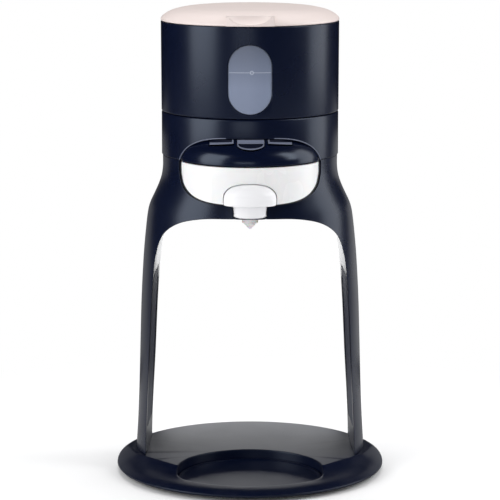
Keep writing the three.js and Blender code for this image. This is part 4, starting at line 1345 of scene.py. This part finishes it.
def bowl_ring(inset, z):
    """The bowl's round-fronted outline at a height, drawn in by an inset, in metres."""
    radius, half = BOWL_RADIUS - inset, BOWL_HALF_WIDTH - inset
    centre = shape().hood_centre_y / MM
    start = math.acos(half / radius)
    points = [(radius * a, centre - radius * b) for a, b in arc(start, math.pi - 2 * start, 56)]
    corner = BOWL_CORNER - inset * 0.5
    corner_y = BAY_BACK - 1.6 - inset - corner
    for side, turn in ((-1, math.pi), (1, math.pi / 2)):
        corner_x = side * (half - corner)
        points += [(corner_x + corner * a, corner_y + corner * b) for a, b in arc(turn, -math.pi / 2, 16)]
    return in_metres([(x, y, z) for x, y in points])


def bowl_front(inset, bottom, top):
    """The bay's front view drawn in by an inset, pushed back through the bowl."""
    front = bay_front(BOWL_HIGH.x / MM - inset, bottom, top + 1)
    return pushed_back("bowl_front", front, FRONT, BAY_BACK * MM)


def bowl_body(inset, bottom, top):
    """The bowl's outside, or with an inset its inside: the bay's front view where it meets the plan."""
    levels = [(bottom, inset + 1.4), (bottom + 0.2, inset + 0.9), (bottom + 0.6, inset + 0.4)]
    levels += [(bottom + 1.6, inset), (top - 0.4, inset), (top, inset + (0 if inset else 0.4))]
    plan = lofted("bowl_plan", [bowl_ring(drawn_in, z) for z, drawn_in in levels])
    return common(plan, bowl_front(inset, bottom, top))


def opened(piece):
    """A piece of the bowl with the way through the funnel and the handle's seat cut out of it."""
    low, waist, top, narrow, wide = 0.185, 0.193, (BOWL_BOTTOM + BOWL_WALL + 1.5) * MM, 0.0032, 0.006
    throat = [(0.0, low), (narrow, low), (narrow, waist), (wide, top), (0.0, top)]
    return cut(cut(piece, turned("throat", throat, POUR, sides=64)), handle_shell(HANDLE_GAP))


def bowl_rim():
    """A dark rim round the white bowl's bottom and sides: a painted shadow standing in for the shade in the
    gap between the bowl and the bridge.
    """
    inside = bowl_front(BOWL_SHADOW_RIM, BOWL_BOTTOM + BOWL_SHADOW_RIM, BOWL_TOP + 1)
    rim = cut(bowl_body(0, BOWL_BOTTOM, BOWL_TOP), inside)
    rim.name = "bowl_rim"
    return opened(rim)


def bowl_shell():
    """The white bowl with its funnel, open on top, with a seat for the handle."""
    inside = bowl_body(BOWL_WALL, BOWL_BOTTOM + BOWL_WALL, BOWL_TOP + 2)
    piece = cut(bowl_body(0, BOWL_BOTTOM, BOWL_TOP), inside)
    # The white bowl stops inside the painted shadow rim.
    piece = common(piece, bowl_front(BOWL_SHADOW_RIM, BOWL_BOTTOM + BOWL_SHADOW_RIM, BOWL_TOP + 1))
    piece.name = "bowl_shell"
    low, floor = NOZZLE_HIGH.z + 0.0003, (BOWL_BOTTOM + BOWL_WALL) * MM
    funnel = [(0.0, low), (0.0075, low), (0.0078, low + 0.0003), (0.0078, floor), (0.0, floor)]
    return opened(joined(piece, turned("funnel", funnel, POUR, sides=64)))


def handle_shell(grow):
    """The drawer's handle: a domed cap over a neck that fills the notch in the bridge."""
    low, half, reach, edge = HANDLE_FOOT - grow, HANDLE_HIGH.x / MM, HANDLE_REACH, 0.4
    middle = HANDLE_LOW.y / MM + HANDLE_REACH

    def oval(z, half_x, half_y, y):
        return in_metres([((half_x + grow) * a, y + (half_y + grow) * b, z) for a, b in turns(96)])

    rings = [oval(low, half - edge, reach - edge, middle), oval(low + edge, half, reach, middle)]
    for z, share in curve_through(HANDLE_DOME, 4):
        rings.append(oval(z + grow, half * share, reach * share, middle))
    cap = lofted("handle_shell", rings)
    neck = [oval(z - grow, half_x, half_y, NECK_Y) for z, half_x, half_y in NECK[:-1]]
    return joined(cap, lofted("neck", neck + [oval(*NECK[-1], NECK_Y)]))


def nozzle_shell():
    """The grey silicone nozzle under the drawer's funnel."""
    top, tip = NOZZLE_HIGH.z / MM, NOZZLE_LOW.z / MM
    flange = tip + 4.4
    profile = [(3.2, top), (3.2, tip + 6.6), (0.5, tip + 0.8), (0.5, tip + 0.2), (0.7, tip)]
    profile += [(0.95, tip + 0.2), (4.6, flange - 0.5), (4.9, flange - 0.3), (5.3, flange - 0.2)]
    profile += [(5.5, flange), (5.5, flange + 2.8), (7.2, flange + 4.4), (7.2, top - 0.4), (6.8, top)]
    return turned("nozzle_shell", in_metres(profile), POUR, sides=72)


def sole_plate():
    """The thin dark sole under the neck: a plate round the nozzle, with a flatter tongue in front."""
    low, high = (corner.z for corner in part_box("drawer_sole"))
    half, bore = 0.0105, 0.0075
    plate = drum("sole_plate", half, low, high, POUR, sides=64)
    plate = joined(plate, block("sole_middle", (-half, -0.0622, low), (half, POUR_Y, high)))
    plate = cut(plate, drum("bore", bore, 0.18, 0.19, POUR, sides=64))
    wide, corner = TONGUE["half"], TONGUE["corner"]
    ring = [(wide, TONGUE["back"]), (-wide, TONGUE["back"])]
    corner_y = TONGUE["front"] + corner
    for side, start in ((-1, math.pi), (1, 1.5 * math.pi)):
        corner_x = side * (wide - corner)
        ring += [(corner_x + corner * a, corner_y + corner * b) for a, b in arc(start, math.pi / 2, 12)]
    top = high / MM + TONGUE["lap"]
    tongue = lofted("tongue", [in_metres([(x, y, z) for x, y in ring]) for z in (top - TONGUE["thick"], top)])
    return joined(plate, tongue)


class FORMULA_OT_drawer(bpy.types.Operator):
    """Builds the powder drawer with its handle and nozzle"""

    bl_idname = "formula_maker.drawer"
    bl_label = "Powder drawer"

    def execute(self, context):
        place(bowl_shell(), "drawer", "white_plastic", bowl_white(), "drawer_bowl", angle=30)
        # The dark rim round the bowl is a painted shadow in the gap between bowl and bridge.
        place(bowl_rim(), "drawer", "navy_plastic", dark_inside(), angle=30)
        place(handle_shell(0.0), "drawer", "white_plastic", handle_white(), "drawer_handle", angle=34)
        place(nozzle_shell(), "drawer", "silicone", soft_silicone(), "pour_nozzle", angle=30)
        place(sole_plate(), "drawer", "navy_plastic", navy_shell(), "drawer_sole", angle=30)
        return {"FINISHED"}


class FORMULA_OT_works(bpy.types.Operator):
    """Finishes the pump, heater, hoses, boards and switches inside the body"""

    bl_idname = "formula_maker.works"
    bl_label = "Works inside the body"

    def execute(self, context):
        dress(["water_pump", "temperature_switch", "start_switch", "volume_switch"], housing_black())
        dress(["water_heater"], brushed_steel())
        hoses = ["tank_to_pump_hose", "pump_to_heater_hose", "heater_to_outlet_hose"]
        dress(hoses + ["socket_seal", "water_outlet"], soft_silicone())
        dress(["inlet_socket"], bowl_white())
        dress(["control_board", "power_board"], circuit_board())
        return {"FINISHED"}


# Floor, world, lamps and camera.
FLOOR_REACH = 6.0
FLOOR_PALE = (0.9, 0.9, 0.905, 1)
FLOOR_DIM = (0.01, 0.01, 0.012, 1)
STUDIO_LIGHT = 0.4
STUDIO_GLOSS = 0.02
MIDDLE = (0, 0, 0.2)
CAMERA_PLACE = (0, -1.6291, 0.4374)
CAMERA_TILT = 9.84
CAMERA_LENS = 171.8


def around(angle, distance, z):
    """A place at an angle in degrees from the front, positive to the right."""
    turn = math.radians(angle)
    return (distance * math.sin(turn), -distance * math.cos(turn), z)


# Each lamp: its name, place, aim, width, height, power, and what doesn't see it.
LAMPS = [
    ("left_softbox", around(-62, 1.3, 0.6), MIDDLE, 0.95, 1.5, 14.5, None),
    ("right_high_softbox", around(70, 1.2, 0.97), MIDDLE, 0.4, 1.05, 5.3, None),
    ("right_softbox", around(97, 1.2, 0.55), MIDDLE, 0.75, 1.4, 7.5, None),
    ("top_softbox", (0, 0.45, 1.5), MIDDLE, 1.2, 1.0, 12, "gloss"),
    ("front_fill", (0, -1.9, 0.75), MIDDLE, 1.2, 0.6, 2.5, "gloss"),
    ("front_card", around(-8, 1.9, 0.3), MIDDLE, 0.9, 0.2, 1.5, None),
    ("back_strip", (0, 0.45, 0.08), (0, 0, 0.02), 0.17, 0.06, 0.08, "camera"),
    ("left_strip", (-0.24, 0.3, 0.1), (-0.07, 0, 0.1), 0.2, 0.2, 0.035, "camera"),
    ("right_strip", (0.24, 0.3, 0.1), (0.07, 0, 0.1), 0.2, 0.2, 0.055, "camera"),
]


def floor_material():
    """A pale floor, white to the camera away from the object; shells mirror it dim behind and far away."""
    material, tree, shader = bare_material("pale_floor")
    where = node(tree, "ShaderNodeNewGeometry").outputs["Position"]
    distance = node(tree, "ShaderNodeVectorMath", {0: where}, operation="LENGTH").outputs["Value"]
    parts = node(tree, "ShaderNodeSeparateXYZ", {"Vector": where}).outputs
    ray = node(tree, "ShaderNodeLightPath").outputs
    aside = arithmetic(tree, "ABSOLUTE", parts["X"])
    behind = ranged(tree, parts["Y"], 0.08, 0.3)
    middle = ranged(tree, aside, 0.2, 0.45, 1, 0.94)
    straight_behind = arithmetic(tree, "MULTIPLY", behind, middle)
    dimming = arithmetic(tree, "MAXIMUM", straight_behind, ranged(tree, distance, 0.5, 1.5, 0.62))
    mirrored_dim = arithmetic(tree, "MULTIPLY", dimming, ray["Is Glossy Ray"])
    tones = {"A": FLOOR_PALE, "B": FLOOR_DIM, "Factor": mirrored_dim}
    tone = node(tree, "ShaderNodeMix", tones, data_type="RGBA").outputs["Result"]
    feed(tree, shader, {"Base Color": tone, "Roughness": 1, "Specular IOR Level": 0})
    away = ranged(tree, distance, 0.13, 0.36, interpolation_type="SMOOTHSTEP")
    seen_white = arithmetic(tree, "MULTIPLY", away, ray["Is Camera Ray"])
    white = node(tree, "ShaderNodeEmission").outputs["Emission"]
    surface = node(tree, "ShaderNodeMixShader", {"Fac": seen_white, 1: shader.outputs["BSDF"], 2: white})
    feed(tree, tree.nodes["Material Output"], {"Surface": surface.outputs["Shader"]})
    return material


def white_world():
    """White to the camera and through clear pieces, a dim studio for light and gloss."""
    world = bpy.data.worlds.new("studio")
    world.use_nodes = True
    tree = world.node_tree
    ray = node(tree, "ShaderNodeLightPath").outputs
    seen = arithmetic(tree, "MAXIMUM", ray["Is Camera Ray"], ray["Is Transmission Ray"])
    light = ranged(tree, seen, 0, 1, STUDIO_LIGHT)
    strength = arithmetic(tree, "MULTIPLY_ADD", ray["Is Glossy Ray"], STUDIO_GLOSS - STUDIO_LIGHT, light)
    feed(tree, tree.nodes["Background"], {"Strength": strength, "Color": (1, 1, 1, 1)})
    return world


def softbox(name, place_at, aim, width, height, watts, unseen_by):
    """A rectangular lamp aimed at a point; the camera or the gloss may not see it."""
    lamp = bpy.data.lights.new(name, "AREA")
    lamp.shape = "RECTANGLE"
    lamp.size = width
    lamp.size_y = height
    lamp.energy = watts
    holder = bpy.data.objects.new(name, lamp)
    holder.location = place_at
    holder.rotation_euler = (Vector(aim) - Vector(place_at)).to_track_quat("-Z", "Y").to_euler()
    holder.visible_glossy = unseen_by != "gloss"
    holder.visible_camera = unseen_by != "camera"
    bpy.context.scene.collection.objects.link(holder)


class FORMULA_OT_stage(bpy.types.Operator):
    """Sets up the pale floor, the studio light and the camera"""

    bl_idname = "formula_maker.stage"
    bl_label = "Floor, light and camera"

    def execute(self, context):
        scene = context.scene
        scene.view_settings.view_transform = "Standard"
        corners = [(x * FLOOR_REACH, y * FLOOR_REACH, 0) for x, y in ((-1, -1), (1, -1), (1, 1), (-1, 1))]
        floor = mesh_piece("floor", corners, [(0, 1, 2, 3)])
        floor.data.materials.append(floor_material())
        scene.world = white_world()
        for lamp in LAMPS:
            softbox(*lamp)
        eye = bpy.data.cameras.new("camera")
        eye.lens = CAMERA_LENS
        eye.sensor_width = 36
        eye.clip_start = 0.01
        eye.clip_end = 100
        camera = bpy.data.objects.new("camera", eye)
        camera.location = CAMERA_PLACE
        camera.rotation_euler = (math.radians(90 - CAMERA_TILT), 0, 0)
        scene.collection.objects.link(camera)
        scene.camera = camera
        return {"FINISHED"}


class FORMULA_PT_panel(bpy.types.Panel):
    """Lists the steps that dress the formula maker"""

    bl_idname = "FORMULA_PT_panel"
    bl_label = "Formula maker"
    bl_space_type = "VIEW_3D"
    bl_region_type = "UI"
    bl_category = "Formula maker"

    def draw(self, context):
        column = self.layout.column()
        for group in (context.scene.formula_maker_shape, context.scene.formula_maker_colours):
            for key in group.__annotations__:
                column.prop(group, key)
        for step in STEPS:
            column.operator(step.bl_idname)


STEPS = (
    FORMULA_OT_base,
    FORMULA_OT_stand,
    FORMULA_OT_body,
    FORMULA_OT_keys,
    FORMULA_OT_tank,
    FORMULA_OT_lid,
    FORMULA_OT_drawer,
    FORMULA_OT_works,
    FORMULA_OT_stage,
)
CLASSES = (FormulaMakerShape, FormulaMakerColours, *STEPS, FORMULA_PT_panel)


def register():
    for item in CLASSES:
        bpy.utils.register_class(item)
    bpy.types.Scene.formula_maker_shape = bpy.props.PointerProperty(type=FormulaMakerShape)
    bpy.types.Scene.formula_maker_colours = bpy.props.PointerProperty(type=FormulaMakerColours)


def unregister():
    del bpy.types.Scene.formula_maker_colours
    del bpy.types.Scene.formula_maker_shape
    for item in reversed(CLASSES):
        bpy.utils.unregister_class(item)


def main():
    register()
    bpy.ops.formula_maker.base()
    bpy.ops.formula_maker.stand()
    bpy.ops.formula_maker.body()
    bpy.ops.formula_maker.keys()
    bpy.ops.formula_maker.tank()
    bpy.ops.formula_maker.lid()
    bpy.ops.formula_maker.drawer()
    bpy.ops.formula_maker.works()
    bpy.ops.formula_maker.stage()


if __name__ == "__main__":
    main()
